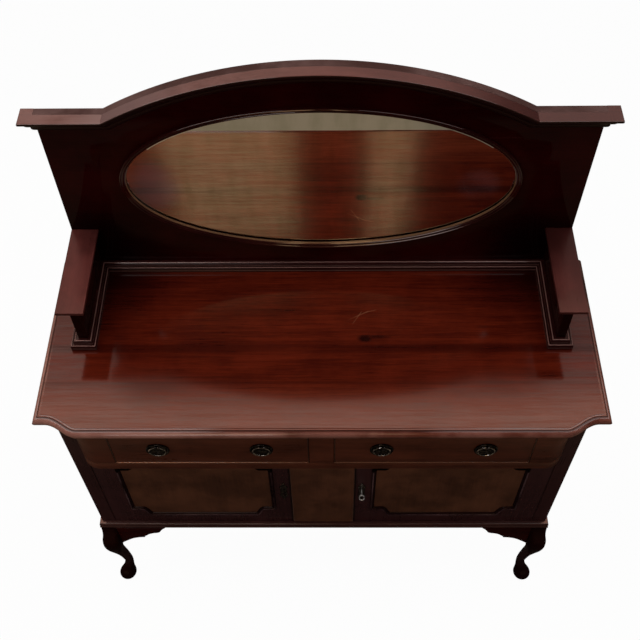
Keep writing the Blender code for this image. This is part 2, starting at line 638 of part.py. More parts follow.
def turned(name, profile, centre, steps, finish):
    """A profile of radius and height, turned about the Y direction with its back at the centre's depth."""
    body = bmesh.new()
    points = [body.verts.new((radius, 0, height)) for radius, height in profile]
    for a, b in zip(points, points[1:]):
        body.edges.new((a, b))
    mesh = bpy.data.meshes.new(name)
    body.to_mesh(mesh)
    body.free()
    made = add_object(name, mesh, finish, centre)
    made.rotation_euler = (math.radians(90), 0, 0)
    screw = made.modifiers.new("turned", "SCREW")
    screw.axis = "Z"
    screw.steps = steps
    screw.render_steps = steps
    screw.use_merge_vertices = True
    screw.merge_threshold = FIT / 10
    screw.use_smooth_shade = True
    return made


def build_pull(word, x, z):
    """Round dished plate with a lug at the top, and the ring that swings in it."""
    back_y = FRIEZE_Y + DRAWER_BEAD_PROJECTION - FIT
    profile = [(0, PULL_PLATE_HEIGHT)]
    for across, up in reversed(PULL_PROFILE_SHARES):
        profile.append((PULL_RADIUS * across, PULL_PLATE_HEIGHT * up))
    profile.append((0, 0))
    plate = turned("pull_plate_" + word, profile, (x, back_y, z), PULL_STEPS, BRONZE)
    ring_y = back_y - PULL_PLATE_HEIGHT - FIT - RING_THICKNESS
    eye_z = z + RING_RADIUS
    half = LUG_WIDTH / 2
    lug = rod("lug_" + word, (x - half, ring_y, eye_z), (x + half, ring_y, eye_z), LUG_RADIUS, LUG_STEPS,
              None)
    rise = LUG_RADIUS * LUG_POST_SHARE
    post = board("lug_post_" + word, (x - half, x + half), (ring_y, back_y - PULL_PLATE_HEIGHT / 3),
                 (eye_z - rise, eye_z + rise), None)
    eye = rod("lug_eye_" + word, (x - LUG_WIDTH, ring_y, eye_z), (x + LUG_WIDTH, ring_y, eye_z),
              RING_THICKNESS + LUG_CLEARANCE, LUG_STEPS, None)
    combine(plate, lug, "UNION")
    combine(plate, post, "UNION")
    combine(plate, eye, "DIFFERENCE")
    rings = []
    for i in range(RING_STEPS):
        turn = 2 * math.pi * (i + 0.5) / RING_STEPS
        ring = []
        for j in range(RING_STEPS // 3):
            around = 2 * math.pi * 3 * j / RING_STEPS
            radius = RING_RADIUS + RING_THICKNESS * math.cos(around)
            ring.append((x + radius * math.cos(turn), ring_y + RING_THICKNESS * math.sin(around),
                         z + radius * math.sin(turn)))
        rings.append(ring)
    loft("pull_ring_" + word, rings, BRONZE, (x, ring_y, eye_z), closed=True, smooth=True)


def pivot_place(side):
    """Plan place of a door's pivot pins, near its outer front corner."""
    return side * (HALF_OPENING - DOOR_GAP - PIVOT_INSET), DOOR_Y + PIVOT_DEPTH


def door_limits():
    return HALF_CENTRE + DOOR_GAP, HALF_OPENING - DOOR_GAP, BASE_TOP + DOOR_GAP, FRIEZE_BOTTOM - DOOR_GAP


def panel_outline(side, inset):
    """Shaped outline of the door's field: each corner has a level shoulder and an ogee."""
    inner, outer, low, high = door_limits()
    left, right = inner + DOOR_INNER_STILE_WIDTH, outer - DOOR_OUTER_STILE_WIDTH
    low, high = low + DOOR_BOTTOM_RAIL_HEIGHT, high - DOOR_TOP_RAIL_HEIGHT
    corner = [(0, PANEL_CORNER_HEIGHT), (PANEL_SHOULDER_LENGTH, PANEL_CORNER_HEIGHT)]
    for i in range(1, PANEL_OGEE_STEPS + 1):
        share = i / PANEL_OGEE_STEPS
        corner.append((PANEL_SHOULDER_LENGTH + PANEL_OGEE_LENGTH * share,
                       PANEL_CORNER_HEIGHT * (1 - s_curve(share))))
    points = [(left + x, low + z) for x, z in corner]
    points += [(right - x, low + z) for x, z in reversed(corner)]
    points += [(right - x, high - z) for x, z in corner]
    points += [(left + x, high - z) for x, z in reversed(corner)]
    moved = offset_path(points, inset, closed=True)
    return [(side * x, z) for x, z in moved]


def keyhole_place(side):
    inner, _, low, high = door_limits()
    return side * (inner + KEYHOLE_INSET), low + (high - low) * KEYHOLE_HEIGHT_SHARE


def bolt_pocket(name, reach, from_edge):
    """Cutter round the lock bolt, running past the centre block's side face by the reach."""
    _, z = keyhole_place(1)
    edge = HALF_CENTRE
    half = LOCK_BOLT_HEIGHT / 2 + LOCK_CLEARANCE
    deep = (DOOR_Y + LOCK_BOLT_DEPTH - LOCK_CLEARANCE,
            DOOR_Y + LOCK_BOLT_DEPTH + LOCK_BOLT_THICKNESS + LOCK_CLEARANCE)
    return board(name, (edge - reach, edge + DOOR_GAP / 2 + from_edge), deep, (z - half, z + half), None)


def build_door(word, side):
    inner, outer, low, high = door_limits()
    pivot_x, pivot_y = pivot_place(side)
    outline = [(side * inner, low), (side * outer, low), (side * outer, high), (side * inner, high)]
    frame = flat_plate("door_frame_" + word, [outline, panel_outline(side, 0)], DOOR_THICKNESS,
                       upright(DOOR_Y + DOOR_THICKNESS / 2), DARK_WOOD)
    sunk = PIVOT_LENGTH / 2
    for end, start, finish in (("top", high - sunk, high + PIVOT_LENGTH - FIT),
                               ("low", low + sunk, low - PIVOT_LENGTH + FIT)):
        reach = finish - math.copysign(DOOR_GAP, finish - start)
        pin = rod("pivot_pin_" + end + "_" + word, (pivot_x, pivot_y, start), (pivot_x, pivot_y, reach),
                  PIVOT_RADIUS, PIVOT_STEPS, None)
        combine(frame, pin, "UNION")
    key_x, key_z = keyhole_place(side)
    hole_end = LOCK_BOLT_DEPTH
    keyway = rod("keyway_" + word, (key_x, DOOR_Y - CUT_OVERRUN, key_z), (key_x, DOOR_Y + hole_end, key_z),
                 KEY_RADIUS + KEY_CLEARANCE, KEY_STEPS, None)
    combine(frame, keyway, "DIFFERENCE")
    flat_plate("door_panel_" + word, [panel_outline(side, FIT)], PANEL_THICKNESS,
               upright(DOOR_Y + PANEL_THICKNESS / 2), VENEER)
    rings = []
    for across, proud in PANEL_MOULD_SHARES:
        drawn = panel_outline(side, PANEL_MOULD_WIDTH * across - PANEL_MOULD_LAP_WIDTH)
        y = DOOR_Y - FIT - PANEL_MOULD_HEIGHT * proud
        rings.append([(x, y, z) for x, z in drawn])
    loft("door_moulding_" + word, rings, DARK_WOOD, closed=True)
    middle_z = key_z - ESCUTCHEON_OFFSET
    right = [(ESCUTCHEON_WIDTH / 2 * x, ESCUTCHEON_HEIGHT / 2 * z) for x, z in ESCUTCHEON_SHARES]
    half = right + [(x, -z) for x, z in reversed(right[:-1])]
    drawing = half + [(-x, z) for x, z in reversed(half[1:-1])]
    placed = [(key_x + x, middle_z + z) for x, z in drawing]
    plate = flat_plate("escutcheon_" + word, [placed], ESCUTCHEON_THICKNESS,
                       upright(DOOR_Y - FIT - ESCUTCHEON_THICKNESS / 2), BRONZE)
    hole = rod("escutcheon_hole_" + word, (key_x, DOOR_Y - ESCUTCHEON_THICKNESS - CUT_OVERRUN, key_z),
               (key_x, DOOR_Y + CUT_OVERRUN, key_z), KEY_RADIUS + KEY_CLEARANCE, KEY_STEPS, None)
    combine(plate, hole, "DIFFERENCE")
    return frame


def build_key_and_bolt(frame):
    """Key in the right door, and the lock bolt that it throws into the centre block."""
    x, z = keyhole_place(1)
    pocket = bolt_pocket("door_mortise", -DOOR_GAP / 2, LOCK_BOLT_LENGTH + DOOR_GAP)
    combine(frame, pocket, "DIFFERENCE")
    start = HALF_CENTRE + DOOR_GAP
    half = LOCK_BOLT_HEIGHT / 2
    board("lock_bolt", (start, start + LOCK_BOLT_LENGTH - LOCK_CLEARANCE),
          (DOOR_Y + LOCK_BOLT_DEPTH, DOOR_Y + LOCK_BOLT_DEPTH + LOCK_BOLT_THICKNESS), (z - half, z + half),
          BRASS)
    bow_y = DOOR_Y - KEY_OUTER_LENGTH - KEY_BOW_RADIUS
    origin = (x, DOOR_Y, z)
    shank = rod("key", (x, DOOR_Y + KEY_INNER_LENGTH, z),
                (x, DOOR_Y - KEY_OUTER_LENGTH - KEY_BOW_BAR_RADIUS / 2, z), KEY_RADIUS, KEY_STEPS, STEEL, origin)
    rings = []
    for i in range(KEY_BOW_STEPS):
        turn = 2 * math.pi * i / KEY_BOW_STEPS
        ring = []
        for j in range(KEY_STEPS // 2):
            around = 4 * math.pi * j / KEY_STEPS
            radius = KEY_BOW_RADIUS + KEY_BOW_BAR_RADIUS * math.cos(around)
            ring.append((x + radius * math.sin(turn), bow_y + radius * math.cos(turn),
                         z + KEY_BOW_BAR_RADIUS * math.sin(around)))
        rings.append(ring)
    bow = loft("key_bow", rings, None, closed=True)
    combine(shank, bow, "UNION")


def arch_half_width(drop):
    """Where the arch, this far in from its edge, meets the level of the wing this far down."""
    radius = ARCH_RADIUS - drop
    rise = TOP_HEIGHT + WING_HEIGHT - drop - ARCH_CENTRE
    return math.sqrt(radius * radius - rise * rise)


def arch_points(drop, margin=0.0):
    """Points along the arch from right to left, this far in from its edge."""
    radius = ARCH_RADIUS - drop
    end = math.asin((arch_half_width(drop) - margin) / radius)
    turns = [end * (1 - 2 * i / ARCH_STEPS) for i in range(ARCH_STEPS + 1)]
    return [(radius * math.sin(t), ARCH_CENTRE + radius * math.cos(t)) for t in turns]


def build_back():
    """Arched back board with its oval opening, and the cornice along its top."""
    low = TOP_HEIGHT + FIT
    wing = TOP_HEIGHT + WING_HEIGHT
    outline = [(-HALF_BACK, wing), (-HALF_BACK, low), (HALF_BACK, low), (HALF_BACK, wing)] + arch_points(0)
    centre = (0, TOP_HEIGHT + MIRROR_CENTRE_HEIGHT)
    rim = ellipse(MIRROR_HALF_WIDTH, MIRROR_HALF_HEIGHT, centre, MIRROR_STEPS)
    hole = offset_path(rim, MIRROR_FRAME_LAP_WIDTH, closed=True)
    flat_plate("back_board", [outline, hole], BACK_BOARD_THICKNESS,
               upright(PANEL_FACE_Y + BACK_BOARD_THICKNESS / 2), DARK_WOOD)
    section = [(0.0, 0.0)] + list(CORNICE_SHARES) + [(0.0, 1.0)]
    rings = [[] for _ in range(ARCH_STEPS + 1)]
    for out, down in section:
        drop = CORNICE_HEIGHT * down
        for ring, (x, z) in zip(rings, arch_points(drop, FIT)):
            ring.append((x, PANEL_FACE_Y - FIT - CORNICE_PROJECTION * out, z))
    loft("cornice_arch", rings, POLISHED, smooth=True)
    for word, side in SIDES:
        rings = [[], [], []]
        for out, down in section:
            drop = CORNICE_HEIGHT * down
            y = PANEL_FACE_Y - FIT - CORNICE_PROJECTION * out
            x = HALF_BACK + FIT + CORNICE_PROJECTION * out
            z = wing - drop
            rings[0].append((side * arch_half_width(drop), y, z))
            rings[1].append((side * x, y, z))
            rings[2].append((side * x, BACK_Y, z))
        loft("cornice_" + word, rings, POLISHED)


def build_mirror():
    """Bevelled oval glass in the opening, the moulded frame in front and the backing behind."""
    centre = (0, TOP_HEIGHT + MIRROR_CENTRE_HEIGHT)
    outer = ellipse(MIRROR_HALF_WIDTH, MIRROR_HALF_HEIGHT, centre, MIRROR_STEPS)
    rings = []
    for across, proud in MIRROR_FRAME_SHARES:
        drawn = offset_path(outer, MIRROR_FRAME_WIDTH * across, closed=True)
        y = PANEL_FACE_Y - FIT - MIRROR_FRAME_HEIGHT * proud
        rings.append([(x, y, z) for x, z in drawn])
    loft("mirror_frame", rings, DARK_WOOD, closed=True, smooth=True)
    edge = MIRROR_FRAME_LAP_WIDTH + FIT
    front_y = PANEL_FACE_Y
    back_y = front_y + GLASS_THICKNESS
    rings = []
    for inset, y in ((0, back_y), (0, front_y + GLASS_BEVEL_DEPTH), (GLASS_BEVEL_WIDTH, front_y)):
        rings.append([(x, y, z) for x, z in offset_path(outer, edge + inset, closed=True)])
    loft("mirror_glass", rings, SILVERED)
    start = back_y + FIT
    flat_plate("mirror_backing", [offset_path(outer, edge, closed=True)], BACK_Y - start,
               upright((start + BACK_Y) / 2), PINE)


def build_arms():
    """Arm shelves on pierced supports, each support standing on a stepped moulding."""
    face = PANEL_FACE_Y - FIT
    step_top = TOP_HEIGHT + FIT + STEP_HEIGHT
    shelf_top = TOP_HEIGHT + ARM_HEIGHT
    mitre_x = SUPPORT_INNER - STEP_DEPTH
    for word, side in SIDES:
        shelf = board("arm_shelf_" + word, mirrored((HALF_BACK - ARM_WIDTH, HALF_BACK), side),
                      (face - ARM_LENGTH, face), (shelf_top - ARM_THICKNESS, shelf_top), POLISHED)
        ease_edges(shelf, ARM_THICKNESS / 8)
        low, high = step_top + FIT, shelf_top - ARM_THICKNESS - FIT
        front = face - SUPPORT_LENGTH
        outline = [(front, low), (face, low), (face, high), (front, high)]
        middle = ((front + face) / 2, (low + high) / 2)
        half_height = SUPPORT_HOLE_HEIGHT / 2
        straight = SUPPORT_HOLE_LENGTH / 2 - half_height
        hole = []
        for end in (1, -1):
            for i in range(SUPPORT_HOLE_STEPS + 1):
                turn = math.pi * (i / SUPPORT_HOLE_STEPS - 0.5)
                hole.append((middle[0] + end * (straight + half_height * math.cos(turn)),
                             middle[1] + end * half_height * math.sin(turn)))
        flat_plate("arm_support_" + word, [outline, hole], SUPPORT_THICKNESS,
                   sideways(side * (SUPPORT_OUTER + SUPPORT_INNER) / 2), DARK_WOOD)
        rings = []
        for inset, up in STEP_SHARES:
            step = STEP_DEPTH * inset
            y = front - STEP_DEPTH + step
            ring = [(SUPPORT_OUTER + STEP_DEPTH - step, face), (SUPPORT_OUTER + STEP_DEPTH - step, y),
                    (mitre_x + step, y), (mitre_x + step, face - STEP_DEPTH + step), (SUPPORT_INNER, face)]
            rings.append([(side * x, depth, TOP_HEIGHT + FIT + STEP_HEIGHT * up) for x, depth in ring])
        loft("support_plinth_" + word, rings, DARK_WOOD)
    rings = []
    low, high = TOP_HEIGHT + FIT, TOP_HEIGHT + FIT + STEP_HEIGHT
    for side in (-1, 1):
        end_x = SUPPORT_INNER - FIT * 2
        ring = [(side * end_x, face, high), (side * end_x, face, low)]
        for inset, up in STEP_SHARES:
            step = STEP_DEPTH * inset
            ring.append((side * (end_x - STEP_DEPTH + step), face - STEP_DEPTH + step,
                         low + STEP_HEIGHT * up))
        rings.append(ring)
    loft("foot_moulding", rings, DARK_WOOD)


build_top()
build_frieze()
build_carcase()
build_base_moulding()
build_legs()
for drawer_word, drawer_side in SIDES:
    build_drawer(drawer_word, drawer_side)
build_door("left", -1)
right_frame = build_door("right", 1)
build_key_and_bolt(right_frame)
build_back()
build_mirror()
build_arms()
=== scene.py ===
import math

import bmesh
import bpy
from mathutils import Matrix, Vector


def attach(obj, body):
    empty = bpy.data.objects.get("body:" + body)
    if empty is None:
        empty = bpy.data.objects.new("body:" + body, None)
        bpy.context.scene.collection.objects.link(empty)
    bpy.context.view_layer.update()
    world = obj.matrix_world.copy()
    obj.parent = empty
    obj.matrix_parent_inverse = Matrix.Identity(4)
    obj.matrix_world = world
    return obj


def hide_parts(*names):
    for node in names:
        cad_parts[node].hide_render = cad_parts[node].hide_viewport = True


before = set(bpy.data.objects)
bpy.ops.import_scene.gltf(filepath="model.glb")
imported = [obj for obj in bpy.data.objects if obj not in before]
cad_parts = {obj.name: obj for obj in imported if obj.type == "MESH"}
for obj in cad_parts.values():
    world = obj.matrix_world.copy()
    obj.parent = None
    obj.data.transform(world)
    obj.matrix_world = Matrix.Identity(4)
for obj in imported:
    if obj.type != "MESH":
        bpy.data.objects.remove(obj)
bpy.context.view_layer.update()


# Viewpoint. The sideboard is seen from high up in front, as from a step-ladder, by a camera that
# stands a little to the right of its middle and is turned and leant by about a degree.
LENS_LENGTH, FILM_WIDTH = 53.552, 36
eye = Vector((0.0274, -1.31775, 2.9886))
tilt_down, turn, lean = math.radians(54.876), math.radians(-1.286), math.radians(-1.192)
ahead = Vector((math.sin(turn) * math.cos(tilt_down), math.cos(turn) * math.cos(tilt_down),
                -math.sin(tilt_down)))
level_right = Vector((math.cos(turn), -math.sin(turn), 0))
level_up = level_right.cross(ahead)
right = math.cos(lean) * level_right + math.sin(lean) * level_up
upward = math.cos(lean) * level_up - math.sin(lean) * level_right
camera = bpy.data.objects.new("camera", bpy.data.cameras.new("camera"))
camera.data.lens = LENS_LENGTH
camera.data.sensor_width = FILM_WIDTH
camera.matrix_world = Matrix.Translation(eye) @ Matrix((right, upward, -ahead)).transposed().to_4x4()
bpy.context.scene.collection.objects.link(camera)
bpy.context.scene.camera = camera
bpy.context.scene.view_settings.view_transform = "Standard"


# Room. A studio with a pale ceiling beyond the piece, two wide lamps over it, a weak one in front,
# two tall windows and a faint one high up behind the camera, and soft light low down behind the
# piece. The floor is white to the eye and brown where the mirror shows it, with painted shade
# under and before the piece.
class Socket:
    """An output of a shader. Arithmetic written on it adds Math nodes; node() adds any other node."""

    def __init__(self, tree, out=None):
        self.tree = tree
        self.out = out

    def node(self, kind, settings=(), values=(), out=0):
        made = self.tree.nodes.new("ShaderNode" + kind)
        for key, value in dict(settings).items():
            setattr(made, key, value)
        for key, value in dict(values).items():
            if isinstance(value, Socket):
                self.tree.links.new(value.out, made.inputs[key])
            else:
                made.inputs[key].default_value = value
        return Socket(self.tree, made.outputs[out] if made.outputs else None)

    def also(self, name):
        """Another output of the same node."""
        return Socket(self.tree, self.out.node.outputs[name])

    def math(self, operation, *values):
        return self.node("Math", {"operation": operation}, dict(enumerate(values)))

    def __add__(self, other):
        return self.math("ADD", self, other)

    def __sub__(self, other):
        return self.math("SUBTRACT", self, other)

    def __rsub__(self, other):
        return self.math("SUBTRACT", other, self)

    def __mul__(self, other):
        return self.math("MULTIPLY", self, other)

    def __truediv__(self, other):
        return self.math("DIVIDE", self, other)

    __radd__, __rmul__ = __add__, __mul__

    def distance(self):
        """How far the value lies from zero, either way."""
        return self.math("ABSOLUTE", self)

    def smaller(self, other):
        return self.math("MINIMUM", self, other)

    def larger(self, other):
        return self.math("MAXIMUM", self, other)

    def band(self, low, high):
        """0 up to low, 1 from high on, and smooth between them; the other way round if low is higher."""
        return self.node("MapRange", {"interpolation_type": "SMOOTHSTEP"}, {0: self, 1: low, 2: high})

    def between(self, first_edge, last_edge):
        """1 between two edges and 0 outside them; an edge is the pair of values that it fades over."""
        return self.band(*first_edge) * (1 - self.band(*last_edge))

    def blend(self, first, second):
        """A colour between the two, by this share."""
        pair = [c if isinstance(c, Socket) else (*c, 1) for c in (first, second)]
        return self.node("Mix", {"data_type": "RGBA"}, {0: self, 6: pair[0], 7: pair[1]}, out=2)


world = bpy.data.worlds.new("studio")
bpy.context.scene.world = world
world.use_nodes = True
world.node_tree.nodes.clear()
sky = Socket(world.node_tree)
seen = sky.node("LightPath")
rightward = sky.node("SeparateXYZ", {}, {0: sky.node("TexCoord")})
beyond, height = rightward.also(1), rightward.also(2)
across = rightward / (0 - beyond)
rise = height / beyond

CEILING_LEFT, CEILING_RIGHT, CEILING_OVERHEAD = (1.35, 0.98, 0.84), (0.95, 0.70, 0.64), (3.9, 2.30, 1.80)
DIM_LOW_EDGE, DIM_HIGH_EDGE, DIM_SIDE_EDGE = (1.38, 1.46), (1.61, 1.78), (0.38, 0.46)
dim_strip = rise.between(DIM_LOW_EDGE, DIM_HIGH_EDGE) * (1 - across.distance().band(*DIM_SIDE_EDGE))
ceiling = beyond.band(0.10, 0.30) * height.band(0.25, 0.6) * (1 - dim_strip)
ceiling_white = rightward.band(-0.32, 0.32).blend(CEILING_LEFT, CEILING_RIGHT)
ceiling_white = rise.band(*DIM_HIGH_EDGE).blend(ceiling_white, CEILING_OVERHEAD)

WINDOWS = (  # left edge, right edge, strength
    ((-0.27, -0.235), (-0.060, -0.054), 1.0), ((0.052, 0.060), (0.112, 0.130), 1.0),
    ((-0.75, -0.55), (-0.27, -0.235), 0.10))
WALL_SHADE, WINDOW_LIGHT = (0.014, 0.009, 0.009), (3.3, 2.25, 1.20)
window_height = height.between((0.45, 0.58), (0.770, 0.785)) * (1 - beyond.band(-0.3, -0.1))
glow = window_height * sum(across.between(left_edge, right_edge) * strength
                           for left_edge, right_edge, strength in WINDOWS)
mirrored_room = glow.blend(ceiling.blend(WALL_SHADE, ceiling_white), WINDOW_LIGHT)

SOFT_FRONT, SOFT_BEHIND = (0.11, 0.11, 0.115), (0.80, 0.78, 0.74)
behind = beyond.band(0.30, 0.75) * (1 - height.band(0.25, 0.50))
diffuse_room = behind.blend(SOFT_FRONT, SOFT_BEHIND)
around = seen.also("Is Glossy Ray").blend(diffuse_room, mirrored_room)
around = (seen.also("Is Camera Ray") + seen.also("Is Transmission Ray")).blend(around, (1, 1, 1))
sky.node("OutputWorld", {}, {0: sky.node("Background", {}, {0: around, 1: 1.0})})

LAMPS = (  # name, place, aim, size, power, colour
    ("left_lamp", (-1.85, -0.05, 4.2), (-0.60, 0.0, 1.0), (1.9, 2.4), 56, (1.0, 0.960, 0.935)),
    ("right_lamp", (1.80, -0.05, 4.2), (0.60, 0.0, 1.0), (1.9, 2.4), 40, (1.0, 0.955, 0.950)),
    ("front_lamp", (-1.0, -4.2, 2.6), (0.0, 0.0, 0.7), (1.2, 1.2), 20, (1.0, 0.95, 0.93)),
)
for name, place, target, size, power, colour in LAMPS:
    lamp = bpy.data.objects.new(name, bpy.data.lights.new(name, "AREA"))
    lamp.data.shape = "RECTANGLE"
    lamp.data.size, lamp.data.size_y = size
    lamp.data.energy = power
    lamp.data.color = colour
    lamp.location = place
    lamp.rotation_euler = (Vector(target) - Vector(place)).to_track_quat("-Z", "Y").to_euler()
    bpy.context.scene.collection.objects.link(lamp)

FLOOR_REACH, FLOOR_DROP = 14.0, 0.0005
SHADE_HALF_WIDTH, SHADE_HALF_DEPTH, SHADE_MIDDLE_Y = 1.25, 1.05, 0.1
OPEN_FLOOR, SHADED_FLOOR, FLOOR_TO_EYE = (0.36, 0.300, 0.205), (0.045, 0.034, 0.028), (0.95, 0.95, 0.95)
WHITE_SHARE = 0.97
floor_mesh = bpy.data.meshes.new("floor")
floor_mesh.from_pydata([(x * FLOOR_REACH, y * FLOOR_REACH, -FLOOR_DROP) for x, y in
                        ((-1, -1), (1, -1), (1, 1), (-1, 1))], [], [(0, 1, 2, 3)])
floor = bpy.data.objects.new("floor", floor_mesh)
bpy.context.scene.collection.objects.link(floor)
floor_paint = bpy.data.materials.new("floor_paint")
floor_paint.use_nodes = True
floor_paint.node_tree.nodes.clear()
ground = Socket(floor_paint.node_tree)
ray = ground.node("LightPath")
spot = ground.node("SeparateXYZ", {}, {0: ground.node("TexCoord", out=3)})
east, north = spot / SHADE_HALF_WIDTH, (spot.also(1) - SHADE_MIDDLE_Y) / SHADE_HALF_DEPTH
# Painted shade: the floor's colour darkens under and before the piece.
painted_floor_shade = (east * east + north * north).band(1.35, 0.75)
tone = painted_floor_shade.blend(OPEN_FLOOR, SHADED_FLOOR)
lit = ground.node("BsdfDiffuse", {}, {0: ray.blend(tone, FLOOR_TO_EYE)})
white = ground.node("Emission", {}, {0: (1, 1, 1, 1), 1: 1.0})
share = (ray + ray.also("Is Transmission Ray")) * WHITE_SHARE
ground.node("OutputMaterial", {}, {0: ground.node("MixShader", {}, {0: share, 1: lit, 2: white})})
floor_mesh.materials.append(floor_paint)


# Top. Boards of mahogany joined edge to edge, with a thumb mould worked on the front and the ends
# and an ogee sweep at each front corner. The polish is worn, with a dark knot and fine scratches.
HALF_TOP, TOP_FRONT, TOP_BACK, TOP_Z = 0.686, -0.26075, 0.26075, 1.020
CORNER_DEPTH, OGEE_START, OGEE_RUN, OGEE_STEPS = 0.0365, 0.660, 0.085, 26
THUMB = (  # in from the outline and down from the face, in mm
    (18.0, 0.0), (17.8, 0.7), (17.2, 0.9), (13.6, 1.0), (13.2, 1.9), (12.5, 2.1), (10.8, 2.2), (8.2, 2.8),
    (5.6, 4.0), (3.4, 5.8), (1.6, 8.2), (0.5, 10.8), (0.0, 13.2), (0.3, 15.8), (1.0, 18.2), (1.9, 21.2),
    (2.8, 23.2), (3.6, 24.0))
WIDE_JOINT_Y, FINE_JOINT_Y = -0.019, -0.119
KNOT_MIDDLE, KNOT_HALF, KNOT_RAGGED = (0.108, 0.0105), (0.019, 0.012), 1.4
SMEAR_MIDDLE, SMEAR_HALF, SMEAR_RAGGED = (0.140, 0.0140), (0.040, 0.006), 1.8
SCRATCH_END = 0.01
SCRATCHES = (  # start, end, half width
    ((0.066, 0.066), (0.124, 0.096), 0.0009), ((0.077, 0.052), (0.104, 0.096), 0.0008),
    ((0.104, 0.088), (0.143, 0.099), 0.0007))


def timber(name, dark, light, grain="x", gloss=0.25, coat=0.3, specular=0.4, tint=(1, 1, 1),
           cloud=0.4, bump=0.25, touch=None, sheen=0.05):
    """Polished wood with its grain along one axis. touch() adds marks, and may say where coat is worn."""
    made = bpy.data.materials.new(name)
    made.use_nodes = True
    tree = made.node_tree
    shader = tree.nodes["Principled BSDF"]
    board = Socket(tree)
    place = board.node("TexCoord", out=3)
    across_grain = 24.0
    stretch = [1.0 if axis == grain else across_grain for axis in "xyz"]
    # Each finish has its own piece of the grain.
    shift = (sum(map(ord, name)) % 17) * 0.37
    flow = board.node("Mapping", {}, {0: place, 1: (shift, shift * 2, -shift), 3: stretch})
    warp = board.node("TexNoise", {}, {"Vector": place, "Scale": 2.3, "Detail": 2.0})

    def streaks(scale, detail, rough):
        return board.node("TexNoise", {}, {"Vector": flow, "Scale": scale, "Detail": detail,
                                           "Roughness": rough, "Distortion": 0.25})

    ribbon, line, fibre = streaks(1.7, 4.0, 0.6), streaks(6.0, 4.0, 0.65), streaks(19.0, 3.0, 0.7)
    pores = streaks(42.0, 2.0, 0.6)
    mottle = board.node("TexNoise", {}, {"Vector": place, "Scale": 7.5, "Detail": 4.0, "Roughness": 0.6})
    tone = ribbon * 0.30 + line * 0.34 + fibre * 0.26 + warp * 0.10
    tone = tone.band(0.36, 0.64) * (1 - cloud) + mottle.band(0.33, 0.67) * cloud
    streak = (line * 0.55 + fibre * 0.45).band(0.38, 0.62)
    colour = tone.blend(dark, light)
    pore = pores.band(0.56, 0.74)
    colour = (pore * 0.3).blend(colour, tuple(c * 0.4 for c in dark))
    polish = mottle * 0.5 + line * 0.3 + 0.6
    if touch:
        x = board.node("SeparateXYZ", {}, {0: place})
        colour, polish, *worn = touch(x, x.also(1), x.also(2), colour, polish, mottle, streak)
        if worn:
            tree.links.new(((1 - worn[0]) * coat).out, shader.inputs["Coat Weight"])
    tree.links.new(colour.out, shader.inputs["Base Color"])
    tree.links.new((polish * gloss).out, shader.inputs["Roughness"])
    shader.inputs["Specular IOR Level"].default_value = specular
    shader.inputs["Specular Tint"].default_value = (*tint, 1)
    shader.inputs["Coat Weight"].default_value = coat
    shader.inputs["Coat Roughness"].default_value = sheen
    relief = board.node("Bump", {}, {"Strength": bump, "Distance": 0.0004,
                                     "Height": line * 0.4 + fibre * 0.4 + mottle * 0.6 - pore * 0.4})
    tree.links.new(relief.out, shader.inputs["Normal"])
    return made


def top_marks(x, y, z, colour, polish, mottle, streak):
    """Dark joints, a knot, scratches, an edge worn bare with a painted highlight, painted light on the
    front, and painted shade in the back corners and the quirk.
    """
    glue, corner_shade, lit_front_wood = (0.012, 0.0010, 0.0008), (0.010, 0.0006, 0.0008), (0.165, 0.034, 0.013)
    knot_wood, scratched, bare_and_highlight_wood = (0.004, 0.0010, 0.0010), (0.30, 0.12, 0.06), (0.34, 0.150, 0.115)
    quirk_shade = (0.010, 0.0015, 0.0010)

    def stripe(middle, half, soft):
        return (y - middle).distance().band(half + soft, half)

    def patch(middle, half, ragged):
        east, north = (x - middle[0]) / half[0], (y - middle[1]) / half[1]
        return (east * east + north * north + mottle * ragged).band(2.2, 0.7)

    joints = stripe(WIDE_JOINT_Y, 0.007, 0.010) * (0.25 + x.distance().band(0.02, 0.30) * 0.40)
    joints = (joints + stripe(FINE_JOINT_Y, 0.001, 0.006) * 0.45) * (0.55 + streak * 0.45)
    colour = joints.blend(colour, glue)
    # Painted shade: the back corners of the top are darkened.
    shaded_back_corners = x.distance().band(0.26, 0.55) * y.band(0.03, 0.20)
    colour = (shaded_back_corners * 0.90).blend(colour, corner_shade)
    # Painted light: the front of the top is painted lighter and redder, fading towards the back.
    lit_front = y.band(-0.09, -0.20) * (streak * 0.35 + 0.10)
    colour = lit_front.blend(colour, lit_front_wood)
    knot = patch(KNOT_MIDDLE, KNOT_HALF, KNOT_RAGGED)
    knot = knot.larger(patch(SMEAR_MIDDLE, SMEAR_HALF, SMEAR_RAGGED) * 0.7)
    colour = (knot * 0.88).blend(colour, knot_wood)
    for start, end, width in SCRATCHES:
        run = Vector(end) - Vector(start)
        length = run.length
        east, north = run / length
        along = (x - start[0]) * east + (y - start[1]) * north
        off = (y - start[1]) * east - (x - start[0]) * north
        scratch = off.distance().band(width * 2, width) * along.band(0, SCRATCH_END)
        scratch = scratch * along.band(length, length - SCRATCH_END) * mottle.band(0.35, 0.55)
        colour = (scratch * 0.28).blend(colour, scratched)
    edge = z.band(TOP_Z - 0.0017, TOP_Z - 0.0032)
    # The thumb mould is worn bare and also carries a painted highlight, strongest at the left.
    bare_and_lit_edge = edge * (mottle.band(0.35, 0.60) * 0.4 + x.band(0.1, -0.55) * 0.6 + 0.1)
    colour = bare_and_lit_edge.blend(colour, bare_and_highlight_wood)
    # Painted shade: a thin dark line in the quirk of the thumb mould.
    shaded_quirk = z.band(TOP_Z - 0.0010, TOP_Z - 0.0016) * (1 - edge)
    colour = (shaded_quirk * 0.85).blend(colour, quirk_shade)
    worn = (streak * 0.42).larger(edge * 0.25).larger(shaded_quirk)
    return colour, polish + joints * 0.5 + knot * 0.6, worn


top_polish = timber("top_polish", (0.032, 0.0026, 0.0011), (0.128, 0.0140, 0.0050), gloss=0.30, coat=1.0,
                    specular=0.0, cloud=0.30, bump=0.30, touch=top_marks, sheen=0.10)


